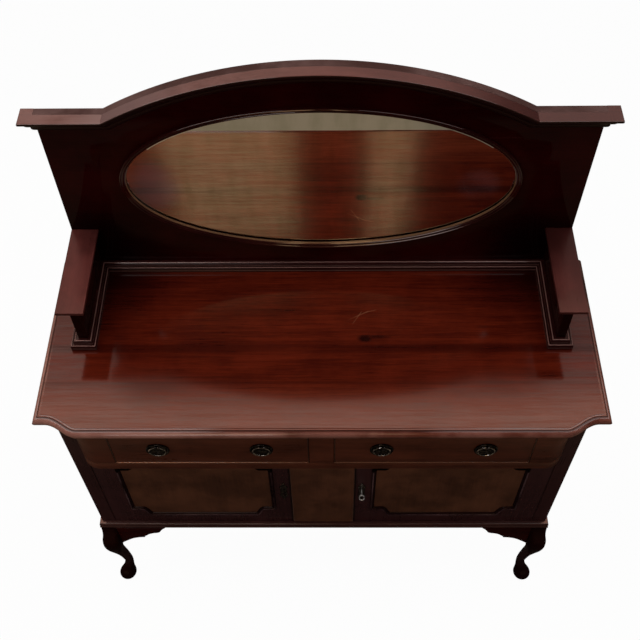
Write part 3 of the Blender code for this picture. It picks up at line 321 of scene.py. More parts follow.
def emit(name, body, finish, carrier, nodes, sharp=30):
    """Turns the drawn body into a piece that rides on its carrier and stands for its CAD nodes."""
    bmesh.ops.recalc_face_normals(body, faces=body.faces)
    mesh = bpy.data.meshes.new(name)
    body.to_mesh(mesh)
    body.free()
    mesh.shade_smooth()
    mesh.set_sharp_from_angle(angle=math.radians(sharp))
    mesh.materials.append(finish)
    made = bpy.data.objects.new(name, mesh)
    bpy.context.scene.collection.objects.link(made)
    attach(made, carrier)
    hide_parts(*nodes)
    return made


def skin(body, rings, around=False):
    """Joins rings of points into a closed surface; the last meets the first, or both ends are filled."""
    made = [[body.verts.new(point) for point in ring] for ring in rings]
    for lower, upper in list(zip(made, made[1:])) + [(made[-1], made[0])] * around:
        for i in range(len(lower)):
            body.faces.new((lower[i - 1], lower[i], upper[i], upper[i - 1]))
    if not around:
        for ring in (made[0], made[-1]):
            rim = [body.edges.get((ring[i - 1], ring[i])) for i in range(len(ring))]
            bmesh.ops.triangle_fill(body, edges=rim, use_beauty=True)


def moved_in(path, distance, closed=True):
    """Moves each side of a path to its left by the distance, and meets the sides in mitres."""
    made = []
    last = len(path) - 1
    for i, point in enumerate(path):
        normals = []
        for a, b in ((i - 1, i), (i, i + 1)):
            if closed or (a >= 0 and b <= last):
                run = (Vector(path[b % (last + 1)]) - Vector(path[a])).normalized()
                normals.append(Vector((-run.y, run.x)))
        middle = sum(normals, Vector((0, 0))).normalized()
        made.append(tuple(Vector(point) + middle * (distance / middle.dot(normals[0]))))
    return made


def sweep_up(share):
    """Rises from 0 to 1 in a reversing curve, level at both ends."""
    return (1 - math.cos(math.pi * share)) / 2


half_plan = [(HALF_TOP, TOP_BACK), (HALF_TOP, TOP_FRONT + CORNER_DEPTH)]
for i in range(OGEE_STEPS + 1):
    half_plan.append((OGEE_START - OGEE_RUN * i / OGEE_STEPS,
                      TOP_FRONT + CORNER_DEPTH * (1 - sweep_up(i / OGEE_STEPS))))
top_plan = half_plan + [(-x, y) for x, y in reversed(half_plan)]
top = bmesh.new()
skin(top, [[(x, min(y, TOP_BACK), TOP_Z - down / 1000) for x, y in moved_in(top_plan, -inset / 1000, False)]
           for inset, down in THUMB])
emit("top_board_polished", top, top_polish, "carcase", ["top_board"], sharp=28)


# Frieze. Two rails, rounded at both ends, with a solid block at each end and a stile between the
# drawers. All of it stands forward of the doors, and its lower edge is rubbed round.
HALF_OPENING, DOOR_Y, FRIEZE_Y, UNDER_TOP, HAIR = 0.604, -0.20425, -0.24025, 0.9957, 0.0003
FRIEZE_PROJECTION, FRIEZE_ROUND, ROUND_STEPS = 0.036, 0.044, 16
TOP_RAIL_LOW, LOW_RAIL_HIGH, LOW_RAIL_LOW, RAIL_DEPTH, RAIL_EASE = 0.978, 0.834, 0.802, 0.076, 0.0016
END_DEPTH, END_WIDTH, END_EASE = 0.050, 0.0865, 0.0006
EASING = ((1.0, 0.0), (0.5, 0.13), (0.13, 0.5), (0.0, 1.0))  # shares in from the outline and from the face


def painted_frieze_highlight(x, y, z, colour, polish, mottle, streak):
    """Painted highlights, mottled, along the lower edge and the rounded ends."""
    # Painted highlight on the lower edge and the rounded ends.
    painted_highlight_share = z.band(LOW_RAIL_LOW + 0.0035, LOW_RAIL_LOW + 0.0005)
    painted_highlight_share = painted_highlight_share + x.distance().band(HALF_OPENING - 0.010, HALF_OPENING - 0.002) * 0.7
    return (painted_highlight_share * mottle.band(0.3, 0.6) * 0.5).blend(colour, (0.20, 0.090, 0.050)), polish


frieze_polish = timber("frieze_polish", (0.044, 0.0115, 0.0060), (0.150, 0.038, 0.019), gloss=0.30,
                       coat=0.03, specular=0.15, tint=(1.0, 0.6, 0.35), touch=painted_frieze_highlight)


def frieze_half(inner, back):
    """Half of the plan of a rail or block: its back, then its rounded end."""
    points = [(inner, back), (HALF_OPENING - HAIR, back)]
    for i in range(ROUND_STEPS + 1):
        angle = math.pi / 2 * i / ROUND_STEPS
        points.append((HALF_OPENING - HAIR - FRIEZE_ROUND * (1 - math.cos(angle)),
                       DOOR_Y - FRIEZE_PROJECTION * math.sin(angle)))
    return points


def counterclockwise(outline):
    """The same outline, drawn so that its inside lies to the left."""
    area = sum(a[0] * b[1] - b[0] * a[1] for a, b in zip(outline, outline[1:] + outline[:1]))
    return outline if area > 0 else outline[::-1]


def eased_rings(outline, low, high, ease, place, inward=1):
    """Rings from one face of a board to the other, drawn in a little at both faces."""
    steps = [(low + ease * back, ease * inset) for inset, back in EASING]
    steps += [(high - ease * back, ease * inset) for inset, back in reversed(EASING)]
    drawn = counterclockwise(outline)
    return [[place(u, v, depth) for u, v in moved_in(drawn, inward * inset)] for depth, inset in steps]


def level(u, v, depth):
    """Lays an outline level, its depth upward."""
    return u, v, depth


right_end = frieze_half(0, FRIEZE_Y + RAIL_DEPTH)[1:]
outline = right_end + [(-x, y) for x, y in reversed(right_end)]
for name, low, high in (("frieze_top_rail", TOP_RAIL_LOW, UNDER_TOP),
                        ("frieze_rail", LOW_RAIL_LOW, LOW_RAIL_HIGH)):
    rail = bmesh.new()
    skin(rail, eased_rings(outline, low, high, RAIL_EASE, level))
    emit(name + "_polished", rail, frieze_polish, "carcase", [name])
inner = HALF_OPENING - END_WIDTH
for word, side in (("left", -1), ("right", 1)):
    plan = [(side * x, y) for x, y in frieze_half(inner, FRIEZE_Y + END_DEPTH) + [(inner, FRIEZE_Y)]]
    block = bmesh.new()
    skin(block, eased_rings(plan, LOW_RAIL_HIGH + HAIR, TOP_RAIL_LOW - HAIR, END_EASE, level))
    emit("frieze_block_" + word, block, frieze_polish, "carcase", ["frieze_end_" + word])


# Carcase. The sides, corner stiles, rear legs and the veneered block between the doors are as cut
# in the frame, and some have their edges eased. The back is a row of pine boards with a V cut at
# each joint.
BLOCK_ARRIS_START, BLOCK_ARRIS_END = (0.0832, 0.0848), (0.088, 0.092)
BACK_HALF, BACK_BOARDS, BACK_FACE, BACK_REAR, BACK_LOW, VEE = 0.6247, 9, 0.24275, 0.25075, 0.368, 0.0022


def painted_block_highlight(x, y, z, colour, polish, mottle, streak):
    """A painted highlight along the upright edges of the centre block."""
    # Painted highlight on the block's upright edges.
    lit_arris = x.distance().between(BLOCK_ARRIS_START, BLOCK_ARRIS_END)
    return (lit_arris * 0.6).blend(colour, (0.20, 0.105, 0.075)), polish


curl_veneer = timber("curl_veneer", (0.064, 0.024, 0.013), (0.172, 0.064, 0.033), "z", gloss=0.32,
                     coat=0.03, specular=0.15, tint=(1.0, 0.6, 0.35), cloud=0.7, touch=painted_block_highlight)
stile_polish = timber("stile_polish", (0.026, 0.0085, 0.0090), (0.058, 0.019, 0.019), "z", gloss=0.28,
                      coat=0.02, specular=0.1, tint=(1.0, 0.75, 0.6))
side_polish = timber("side_polish", (0.014, 0.0038, 0.0045), (0.034, 0.0095, 0.0100), "z", gloss=0.30,
                     coat=0.0, specular=0.08, tint=(1.0, 0.75, 0.6))
rail_polish = timber("rail_polish", (0.034, 0.0110, 0.0100), (0.078, 0.026, 0.022), "x", gloss=0.26,
                     coat=0.30, specular=0.25, tint=(1.0, 0.75, 0.6))
drawer_lining = timber("drawer_lining", (0.30, 0.19, 0.09), (0.46, 0.31, 0.17), "y", gloss=0.62, coat=0.0,
                       specular=0.3, cloud=0.3)
back_pine = timber("back_pine", (0.22, 0.135, 0.068), (0.38, 0.25, 0.135), "z", gloss=0.65, coat=0.0,
                   specular=0.3, cloud=0.35)

BOARD_EASE, SIDE_EASE, LEG_EASE, FINE_EASE = 0.0005, 0.0006, 0.0015, 0.0004


def dress(names, finish, ease=0.0):
    """Gives CAD nodes a finish, and softens their edges where ease says by how much."""
    for name in names:
        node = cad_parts[name]
        node.data.materials.clear()
        node.data.materials.append(finish)
        if ease:
            edge = node.modifiers.new("rubbed_edges", "BEVEL")
            edge.width = ease
            edge.segments = 2
            edge.limit_method = "ANGLE"
            edge.angle_limit = math.radians(40)


dress(("drawer_divider",), frieze_polish, BOARD_EASE)
dress(("centre_block",), curl_veneer)
dress(("side_left", "side_right"), side_polish, SIDE_EASE)
dress(("corner_stile_left", "corner_stile_right"), stile_polish)
dress(("rear_leg_left", "rear_leg_right"), stile_polish, LEG_EASE)
dress(("cupboard_floor",), rail_polish)
dress(("dust_board", "cupboard_partition"), drawer_lining)
outline = [(BACK_HALF, BACK_FACE), (-BACK_HALF, BACK_FACE), (-BACK_HALF, BACK_REAR)]
for i in range(1, BACK_BOARDS):
    x = -BACK_HALF + 2 * BACK_HALF * i / BACK_BOARDS
    outline += [(x - VEE, BACK_REAR), (x, BACK_REAR - VEE), (x + VEE, BACK_REAR)]
outline.append((BACK_HALF, BACK_REAR))
boards = bmesh.new()
skin(boards, [[(x, y, z) for x, y in outline] for z in (BACK_LOW, UNDER_TOP)])
emit("back_boards", boards, back_pine, "carcase", ["carcase_back"])


# Base moulding. A small ovolo over a torus, planted on the foot of the carcase above the legs and
# mitred round the front and both sides.
BASE_TOP, BASE_HEIGHT, BASE_OUT, BASE_SIDE_OUT, HALF_CARCASE = 0.394, 0.026, 0.0135, 0.008, 0.643
BASE_SECTION = (  # shares of the projection and of the height, from the top down
    (0.0, 0.0), (0.60, 0.0), (0.72, 0.012), (0.81, 0.05), (0.875, 0.11), (0.91, 0.19), (0.915, 0.27),
    (0.88, 0.34), (0.81, 0.375), (0.80, 0.44), (0.84, 0.47), (0.93, 0.52), (0.985, 0.60), (1.0, 0.69),
    (0.985, 0.79), (0.93, 0.88), (0.86, 0.93), (0.80, 0.955), (0.80, 1.0), (0.0, 1.0))
rings = []
for side, at_front in ((-1, False), (-1, True), (1, True), (1, False)):
    ring = []
    for out, down in BASE_SECTION:
        y = DOOR_Y - HAIR - BASE_OUT * out if at_front else BACK_REAR
        ring.append((side * (HALF_CARCASE + HAIR + BASE_SIDE_OUT * out), y, BASE_TOP - BASE_HEIGHT * down))
    rings.append(ring)
base = bmesh.new()
skin(base, rings)
emit("base_moulding_run", base, rail_polish, "carcase", ["base_moulding"])


# Front legs. Short cabriole legs carved from the solid, each on a pad foot, with a fretted bracket
# on the front and a matching ear at the side. They are almost black with old polish.
LEG_TOP, LEG_X, LEG_Y, LEG_BLOCK, KNEE_OUT, SWAY = 0.3677, 0.629, -0.19575, 0.044, 0.0205, 0.005
LEG_SIDES, LEG_CURVE = 40, 4
LEG_STATIONS = (  # share down, sway, forward set, half width, squareness
    (0.0, 0.0, 0.0, 0.022, 12.0), (0.06, 0.08, 0.28, 0.022, 7.0), (0.13, 0.38, 0.69, 0.0235, 4.0),
    (0.19, 0.84, 0.96, 0.0259, 3.4), (0.27, 1.0, 1.0, 0.0270, 3.0), (0.36, 1.10, 0.90, 0.0235, 2.8),
    (0.46, 0.80, 0.71, 0.0178, 2.6), (0.57, -0.40, 0.45, 0.0145, 2.5), (0.68, -1.36, 0.28, 0.0130, 2.3),
    (0.78, -1.74, 0.22, 0.0126, 2.2), (0.86, -0.92, 0.59, 0.0168, 2.0), (0.905, -0.04, 0.84, 0.0220, 2.0),
    (0.935, 0.40, 0.96, 0.0257, 2.0), (0.96, 0.70, 0.98, 0.0262, 2.0), (0.985, 0.78, 0.97, 0.0230, 2.0),
    (1.0, 0.80, 0.97, 0.0183, 2.0))
BRACKET_LENGTH, BRACKET_DROP = 0.143, 0.112
BRACKET_EDGE = (  # shares of the length, from the leg, and of the drop; it breaks off at a small nick
    (0.0, 1.0), (0.07, 0.91), (0.14, 0.83), (0.22, 0.74), (0.315, 0.67), (0.42, 0.63), (0.517, 0.616),
    (0.53, 0.56), (0.587, 0.482), (0.635, 0.42), (0.692, 0.379), (0.75, 0.35), (0.797, 0.339),
    (0.845, 0.31), (0.874, 0.268), (0.91, 0.17), (0.958, 0.08), (1.0, 0.027))
POINTS_TO_NICK = 7
EAR_LAP, EAR_INNER, EAR_OUTER = 0.018, 0.628, 0.650
FRET_START, FRET_FRONT, FRET_BACK, FRET_EASE = 0.6067, -0.21675, -0.19475, 0.0015
SHIN_START, SHIN_END, KNEE_START = (0.05, 0.11), (0.19, 0.25), (0.22, 0.27)


def painted_shin_highlight(x, y, z, colour, polish, mottle, streak):
    """Shins and ankles carry a painted highlight, a little paler than the knees and feet."""
    # Painted highlight on the shins and ankles.
    painted_highlight_share = z.between(SHIN_START, SHIN_END)
    return (painted_highlight_share * (0.4 + mottle * 0.6)).blend(colour, (0.048, 0.021, 0.020)), polish, z.band(*KNEE_START)


deep_polish = timber("deep_polish", (0.007, 0.0012, 0.0010), (0.019, 0.0030, 0.0024), "y", gloss=0.20,
                     coat=0.30, specular=0.04, tint=(1.0, 0.75, 0.6), touch=painted_shin_highlight)
fret_polish = timber("fret_polish", (0.016, 0.0012, 0.0006), (0.048, 0.0032, 0.0014), "x", gloss=0.26,
                     coat=0.05, specular=0.05, tint=(1.0, 0.6, 0.5))


def flowing(points, steps):
    """A smooth curve through rows of numbers."""
    made = []
    for i in range(len(points) - 1):
        p = [points[max(i - 1, 0)], points[i], points[i + 1], points[min(i + 2, len(points) - 1)]]
        for step in range(steps):
            t = step / steps
            made.append(tuple(
                b + 0.5 * t * (c - a + t * (2 * a - 5 * b + 4 * c - d + t * (3 * (b - c) + d - a)))
                for a, b, c, d in zip(*p)))
    return made + [tuple(points[-1])]


def plate(body, outlines, near, far, ease, place):
    """A board between two depths with eased edges; the outlines after the first are holes in it."""
    faces = ([], [])
    for number, drawn in enumerate(outlines):
        rings = [[body.verts.new(point) for point in ring]
                 for ring in eased_rings(drawn, near, far, ease, place, -1 if number else 1)]
        for lower, upper in zip(rings, rings[1:]):
            for i in range(len(lower)):
                body.faces.new((lower[i - 1], lower[i], upper[i], upper[i - 1]))
        for face, ring in zip(faces, (rings[0], rings[-1])):
            face += [body.edges.get((ring[i - 1], ring[i])) for i in range(len(ring))]
    for face in faces:
        bmesh.ops.triangle_fill(body, edges=face, use_beauty=True)


def upright(u, v, depth):
    """Stands an outline upright, facing the front."""
    return u, depth, v


def sideways(u, v, depth):
    """Stands an outline upright, facing the side."""
    return depth, u, v


def bracket(start, way):
    """Outline of a fretted bracket that hangs from the base and runs the given way from a leg."""
    edge = flowing(BRACKET_EDGE[:POINTS_TO_NICK], 4) + flowing(BRACKET_EDGE[POINTS_TO_NICK:], 3)
    drawn = [(start + way * BRACKET_LENGTH * along, LEG_TOP - BRACKET_DROP * down)
             for along, down in reversed(edge)]
    return [(start, LEG_TOP), (start + way * BRACKET_LENGTH, LEG_TOP)] + drawn


for word, side in (("left", -1), ("right", 1)):
    rings = []
    for share, sway, forward, half, square in flowing(LEG_STATIONS, LEG_CURVE):
        ring = []
        for i in range(LEG_SIDES):
            angle = 2 * math.pi * (i + 0.5) / LEG_SIDES
            east, north = math.cos(angle), math.sin(angle)
            reach = half / (abs(east) ** square + abs(north) ** square) ** (1 / square)
            ring.append((side * (LEG_X + SWAY * sway + reach * east),
                         LEG_Y - KNEE_OUT * forward + reach * north, LEG_TOP * (1 - share)))
        rings.append(ring)
    leg = bmesh.new()
    skin(leg, rings)
    emit("cabriole_leg_" + word, leg, deep_polish, "carcase", ["front_leg_" + word], sharp=50)
    ear = bmesh.new()
    ear_outline = bracket(LEG_Y + LEG_BLOCK / 2 - EAR_LAP, 1)
    plate(ear, [ear_outline], side * EAR_INNER, side * EAR_OUTER, side * FRET_EASE, sideways)
    emit("side_ear_" + word, ear, fret_polish, "carcase", ["front_leg_" + word])
    fret = bmesh.new()
    plate(fret, [bracket(side * FRET_START, -side)], FRET_FRONT, FRET_BACK, FRET_EASE, upright)
    emit("front_fret_" + word, fret, fret_polish, "carcase", ["front_bracket_" + word])


# Drawers. Mahogany fronts with a cock bead let in round the edge, on boxes of a pale wood. Each
# runs on the dust board, and its front fills the opening between two frieze rails.
DRAWER_INNER, DRAWER_OUTER, DRAWER_LOW, DRAWER_HIGH = 0.031, 0.5165, 0.835, 0.977
FIELD_SET, FRONT_THICKNESS, FRONT_EASE, BEAD = 0.0012, 0.019, 0.0003, 0.003
FIELD_Y = FRIEZE_Y + FIELD_SET
BEAD_SECTION = (  # share of the bead's width, and depth behind the drawer's field
    (0.0, 0.001), (0.0, -0.0004), (0.05, -0.0011), (0.18, -0.0016), (0.38, -0.00185),
    (0.62, -0.00185), (0.82, -0.0016), (0.95, -0.0011), (1.0, -0.0004), (1.0, 0.001))


def painted_bead_highlight(x, y, z, colour, polish, mottle, streak):
    """The lowest run of the bead carries a painted highlight, brightest at the left."""
    # Painted highlight on the lowest run of the bead.
    lit_lowest_run = z.band(DRAWER_LOW + 0.0034, DRAWER_LOW + 0.0026)
    return (lit_lowest_run * (0.85 - x.band(-0.5, 0.0) * 0.6)).blend(colour, (0.75, 0.31, 0.17)), polish


bead_polish = timber("bead_polish", (0.034, 0.010, 0.0050), (0.078, 0.024, 0.011), "x", gloss=0.26,
                     coat=0.5, specular=0.3, tint=(1.0, 0.8, 0.7), touch=painted_bead_highlight)
for word, side in (("left", -1), ("right", 1)):
    near, far = sorted((side * DRAWER_INNER, side * DRAWER_OUTER))
    outline = [(near, DRAWER_LOW), (far, DRAWER_LOW), (far, DRAWER_HIGH), (near, DRAWER_HIGH)]
    front = bmesh.new()
    plate(front, [outline], FIELD_Y, FRIEZE_Y + FRONT_THICKNESS, FRONT_EASE, upright)
    emit("drawer_face_" + word, front, frieze_polish, "drawer_" + word, ["drawer_front_" + word])
    bead = bmesh.new()
    skin(bead, [[(x, FIELD_Y + behind_field, z) for x, z in moved_in(outline, BEAD * inset)]
                for inset, behind_field in BEAD_SECTION], around=True)
    emit("cock_bead_" + word, bead, bead_polish, "drawer_" + word, ["drawer_front_" + word])
dress(("drawer_box_left", "drawer_box_right", "drawer_bottom_left", "drawer_bottom_right"), drawer_lining,
      FINE_EASE)


# Pulls. Cast brass, bronzed nearly black: a round plate with a beaded rim and a dished middle, and a
# ring that hangs from an eye at its top and is rubbed paler.
PULL_BACK, PULL_Z, PULL_DEPTH, PULL_STEPS = FIELD_Y - HAIR, 0.906, 0.0038, 56
PULL_PLACES = (("outer", 0.4005), ("inner", 0.147))
PULL_PROFILE = (  # radius, and depth behind the drawer's face, in mm
    (0.5, -1.9), (2.4, -1.8), (4.2, -1.2), (6.0, -0.8), (9.5, -0.7), (12.4, -0.9), (13.4, -1.5),
    (14.3, -2.3), (15.3, -2.7), (16.3, -2.4), (17.1, -1.6), (18.6, -1.3), (22.6, -1.3),
    (23.7, -1.7), (24.7, -2.7), (25.8, -3.5), (27.0, -3.8), (28.1, -3.6), (28.8, -2.8),
    (29.0, -1.6), (28.8, -0.5), (28.4, 0.0))
RING_RADIUS, RING_BAR, RING_STEPS, BAR_STEPS = 0.0205, 0.0020, 64, 14
EYE_STEPS = 20
EYE_SECTION = (  # distance from the eye's axis, and place along it
    (0.0028, 0.0026), (0.0033, 0.0029), (0.0044, 0.0027), (0.0052, 0.0018),
    (0.0052, -0.0018), (0.0044, -0.0027), (0.0033, -0.0029), (0.0028, -0.0026))
STEM_HALF_WIDTH, STEM_HALF_HEIGHT, STEM_START, STEM_SUNK, STEM_EASE = 0.0024, 0.0036, 0.0034, 0.0010, 0.0003


def metal(name, dark, light, rough, relief=0.3, metallic=1.0):
    """Cast or worked metal, cloudy between a dark and a light tone."""
    made = bpy.data.materials.new(name)
    made.use_nodes = True
    tree = made.node_tree
    shader = tree.nodes["Principled BSDF"]
    cast = Socket(tree)
    place = cast.node("TexCoord", out=3)
    patch = cast.node("TexNoise", {}, {"Vector": place, "Scale": 140.0, "Detail": 4.0, "Roughness": 0.6})
    tree.links.new(patch.band(0.38, 0.66).blend(dark, light).out, shader.inputs["Base Color"])
    tree.links.new(((patch * 0.6 + 0.7) * rough).out, shader.inputs["Roughness"])
    shader.inputs["Metallic"].default_value = metallic
    bump = cast.node("Bump", {}, {"Strength": relief, "Distance": 0.0002, "Height": patch})
    tree.links.new(bump.out, shader.inputs["Normal"])
    return made


def turned(body, profile, centre, steps):
    """A closed solid turned about the Y direction from rows of radius and depth behind the centre."""
    rings = []
    for radius, depth in profile:
        turns = [2 * math.pi * i / steps for i in range(steps)]
        rings.append([(centre[0] + radius * math.cos(t), centre[1] + depth,
                       centre[2] + radius * math.sin(t)) for t in turns])
    skin(body, rings)


def hoop(body, centre, radius, bar, steps, lie):
    """A ring of round bar, which lie(u, v, depth) turns into place."""
    rings = []
    for i in range(steps):
        bearing = 2 * math.pi * i / steps
        ring = []
        for j in range(BAR_STEPS):
            angle = 2 * math.pi * j / BAR_STEPS
            reach = radius + bar * math.cos(angle)
            offset = lie(reach * math.cos(bearing), reach * math.sin(bearing), bar * math.sin(angle))
            ring.append(tuple(c + o for c, o in zip(centre, offset)))
        rings.append(ring)
    skin(body, rings, around=True)


bronze = metal("bronzed_brass", (0.012, 0.010, 0.009), (0.055, 0.046, 0.042), 0.24)
rubbed_bronze = metal("rubbed_bronze", (0.14, 0.125, 0.12), (0.60, 0.56, 0.54), 0.18)
for word, side in (("left", -1), ("right", 1)):
    for place_word, away in PULL_PLACES:
        both = word + "_" + place_word
        x = side * away
        rose = bmesh.new()
        turned(rose, [(r / 1000, d / 1000) for r, d in PULL_PROFILE], (x, PULL_BACK, PULL_Z), PULL_STEPS)
        ring_y = PULL_BACK - PULL_DEPTH - HAIR - RING_BAR
        eye_z = PULL_Z + RING_RADIUS
        rings = []
        for i in range(EYE_STEPS):
            angle = 2 * math.pi * i / EYE_STEPS
            rings.append([(x + out, ring_y + reach * math.cos(angle), eye_z + reach * math.sin(angle))
                          for reach, out in EYE_SECTION])
        skin(rose, rings, around=True)
        stem = [(x + wide * STEM_HALF_WIDTH, eye_z + tall * STEM_HALF_HEIGHT)
                for wide, tall in ((-1, -1), (1, -1), (1, 1), (-1, 1))]
        plate(rose, [stem], ring_y + STEM_START, PULL_BACK - STEM_SUNK, STEM_EASE, upright)
        emit("pull_rose_" + both, rose, bronze, "drawer_" + word, ["pull_plate_" + both], 45)
        swing = bmesh.new()
        hoop(swing, (x, ring_y, PULL_Z), RING_RADIUS, RING_BAR, RING_STEPS, upright)
        emit("pull_hoop_" + both, swing, rubbed_bronze, "ring_" + both, ["pull_ring_" + both], 60)


# Doors. Framed round a veneered panel whose corners are shaped, with a moulding planted over the
# joint. Each has a long pierced keyhole plate, and the right one a lock with its key.
DOOR_INNER, DOOR_OUTER, DOOR_LOW, DOOR_HIGH = 0.0867, 0.6028, 0.3952, 0.8008
STILE_IN, STILE_OUT, DOOR_TOP_RAIL, DOOR_LOW_RAIL = 0.0485, 0.0635, 0.030, 0.052
SHOULDER, CORNER_RUN, CORNER_RISE, CORNER_STEPS = 0.030, 0.022, 0.038, 12
MOULD_SECTION = (  # in from the panel's outline, and proud of the door, in mm
    (-4.0, 0.0), (-4.0, 2.2), (-3.7, 3.4), (-2.9, 4.5), (-1.9, 5.5), (-0.9, 6.2), (0.0, 6.5),
    (0.9, 6.3), (1.7, 5.6), (2.4, 4.4), (2.9, 3.2), (3.4, 2.8), (4.1, 3.2), (5.0, 3.4), (5.9, 3.0),
    (6.8, 2.0), (7.6, 1.0), (8.0, 0.5), (8.0, 0.0))
CREST_START, CREST_FULL, UPPER_RUN = 0.0052, 0.0062, (0.716, 0.722)
LOW_SEAM_FADE, TOP_SEAM_FADE = (0.490, 0.484), (0.728, 0.734)
KEY_X, KEY_Z, PLATE_DROP = 0.106, 0.606112, 0.012
KEYPLATE_THICKNESS, KEYPLATE_EASE, KEYHOLE_RADIUS, HOLE_STEPS = 0.0018, 0.0005, 0.0021, 20
SLIT_HALF_WIDTH, SLIT_HALF_HEIGHT, SLIT_DROP = 0.0022, 0.0058, 0.0205
BOSS_RISE, BOSS_SUNK, BOSS_ANGLES, BOSS_STEPS = 0.0007, 0.0006, (1.4, 1.05, 0.7, 0.35, 0.0), 20


def field(side):
    """Shaped outline of a door's panel: a level shoulder and an ogee at each corner."""
    near, far = DOOR_INNER + STILE_IN, DOOR_OUTER - STILE_OUT
    low, high = DOOR_LOW + DOOR_LOW_RAIL, DOOR_HIGH - DOOR_TOP_RAIL
    corner = [(0, CORNER_RISE)]
    for i in range(CORNER_STEPS + 1):
        corner.append((SHOULDER + CORNER_RUN * i / CORNER_STEPS,
                       CORNER_RISE * (1 - sweep_up(i / CORNER_STEPS))))
    back = corner[::-1]
    points = [(near + x, low + z) for x, z in corner] + [(far - x, low + z) for x, z in back]
    points += [(far - x, high - z) for x, z in corner] + [(near + x, high - z) for x, z in back]
    return counterclockwise([(side * x, z) for x, z in points])


def door_joints(x, y, z, colour, polish, mottle, streak):
    """The stiles run the full height; a dark hairline shows where each rail is tenoned into them."""
    out = x.distance()
    beyond_panel = z.band(*LOW_SEAM_FADE) + z.band(*TOP_SEAM_FADE)
    for seam in (DOOR_INNER + STILE_IN, DOOR_OUTER - STILE_OUT):
        gap = out - seam
        hairline = gap.distance().band(0.0006, 0.0001) * beyond_panel
        colour = (hairline * 0.7).blend(colour, (0.004, 0.0015, 0.001))
    # Painted shade: the door's edges are darkened along the gaps round it.
    rim = 1 - out.band(DOOR_INNER + 0.002, DOOR_INNER + 0.006)
    rim = rim.larger(out.band(DOOR_OUTER - 0.003, DOOR_OUTER))
    rim = rim.larger(1 - z.band(DOOR_LOW, DOOR_LOW + 0.003))
    return (rim * 0.8).blend(colour, (0.004, 0.0015, 0.0015)), polish


door_polish = timber("door_polish", (0.030, 0.0090, 0.0100), (0.062, 0.019, 0.020), "z", gloss=0.28,
                     coat=0.08, specular=0.18, tint=(1.0, 0.75, 0.7), touch=door_joints)
dress(("door_frame_left", "door_frame_right"), door_polish, BOARD_EASE)
dress(("door_panel_left", "door_panel_right"), curl_veneer)
PLATE_HALF = flowing((  # out from the plate's middle line, and up from its middle, in mm
    (0.0, 50.0), (2.2, 48.6), (3.3, 46.0), (2.7, 43.4), (3.0, 41.0), (5.2, 38.6), (7.6, 35.0),
    (8.4, 31.4), (8.6, 28.6), (10.6, 26.4), (10.9, 23.6), (9.6, 20.4), (8.7, 15.6), (8.8, 11.0),
    (9.4, 7.0), (8.9, 3.4), (6.2, 1.2), (6.0, 0.0)), 3)
BOSSES = (  # place from the plate's middle, and radius, in mm
    (0.0, 46.2, 1.5), (0.0, -46.2, 1.5), (0.0, 33.5, 3.4), (0.0, -33.5, 3.4), (7.4, 24.6, 1.9),
    (-7.4, 24.6, 1.9), (7.4, -24.6, 1.9), (-7.4, -24.6, 1.9), (5.4, 6.0, 1.4), (-5.4, 6.0, 1.4),
    (5.4, -6.0, 1.4), (-5.4, -6.0, 1.4))
plate_bronze = metal("plate_bronze", (0.018, 0.015, 0.013), (0.34, 0.30, 0.27), 0.20, 0.8)


def moulding_shade_and_highlight(x, y, z, colour, polish, mottle, streak):
    """Painted shade on the upper run, under the frieze; a purplish painted highlight on the other crests."""
    # Painted shade on the upper run; painted highlight on the crest.
    high = z.band(*UPPER_RUN)
    crest_highlight = y.band(DOOR_Y - CREST_START, DOOR_Y - CREST_FULL) * mottle.band(0.35, 0.65) * (1 - high)
    colour = (crest_highlight * 0.9).blend(colour, (0.150, 0.080, 0.085))
    return high.blend(colour, (0.003, 0.0012, 0.0012)), polish + high * 2, high


moulding_polish = timber("moulding_polish", (0.008, 0.0024, 0.0028), (0.020, 0.0056, 0.0060), "x",
                         gloss=0.30, coat=0.03, specular=0.06, tint=(1.0, 0.7, 0.65),
                         touch=moulding_shade_and_highlight)


def round_hole(x, z, half_width, half_height):
    """Outline of a round or oval hole."""
    turns = [2 * math.pi * i / HOLE_STEPS for i in range(HOLE_STEPS)]
    return [(x + half_width * math.cos(t), z + half_height * math.sin(t)) for t in turns]


for word, side in (("left", -1), ("right", 1)):
    shape = field(side)
    moulding = bmesh.new()
    skin(moulding, [[(x, DOOR_Y - HAIR - proud / 1000, z) for x, z in moved_in(shape, inset / 1000)]
                    for inset, proud in MOULD_SECTION], around=True)
    emit("panel_moulding_" + word, moulding, moulding_polish, "door_" + word, ["door_moulding_" + word])
    key_x, middle = side * KEY_X, KEY_Z - PLATE_DROP
    half = PLATE_HALF + [(x, -z) for x, z in PLATE_HALF[-2::-1]]
    drawn = [(key_x + x / 1000, middle + z / 1000) for x, z in half + [(-x, z) for x, z in half[-2:0:-1]]]
    hole = round_hole(key_x, KEY_Z, KEYHOLE_RADIUS, KEYHOLE_RADIUS)
    slit = round_hole(key_x, middle - SLIT_DROP, SLIT_HALF_WIDTH, SLIT_HALF_HEIGHT)
    keyplate = bmesh.new()
    front_y = DOOR_Y - HAIR - KEYPLATE_THICKNESS
    plate(keyplate, [drawn, hole, slit], front_y, DOOR_Y - HAIR, KEYPLATE_EASE, upright)
    for x, z, radius in BOSSES:
        dome = [(radius / 1000 * math.cos(a), -BOSS_RISE * math.sin(a)) for a in BOSS_ANGLES]
        centre = (key_x + x / 1000, front_y, middle + z / 1000)
        turned(keyplate, dome + [(radius / 1000 * 0.9, BOSS_SUNK)], centre, BOSS_STEPS)
    emit("keyhole_plate_" + word, keyplate, plate_bronze, "door_" + word, ["escutcheon_" + word],
         40)

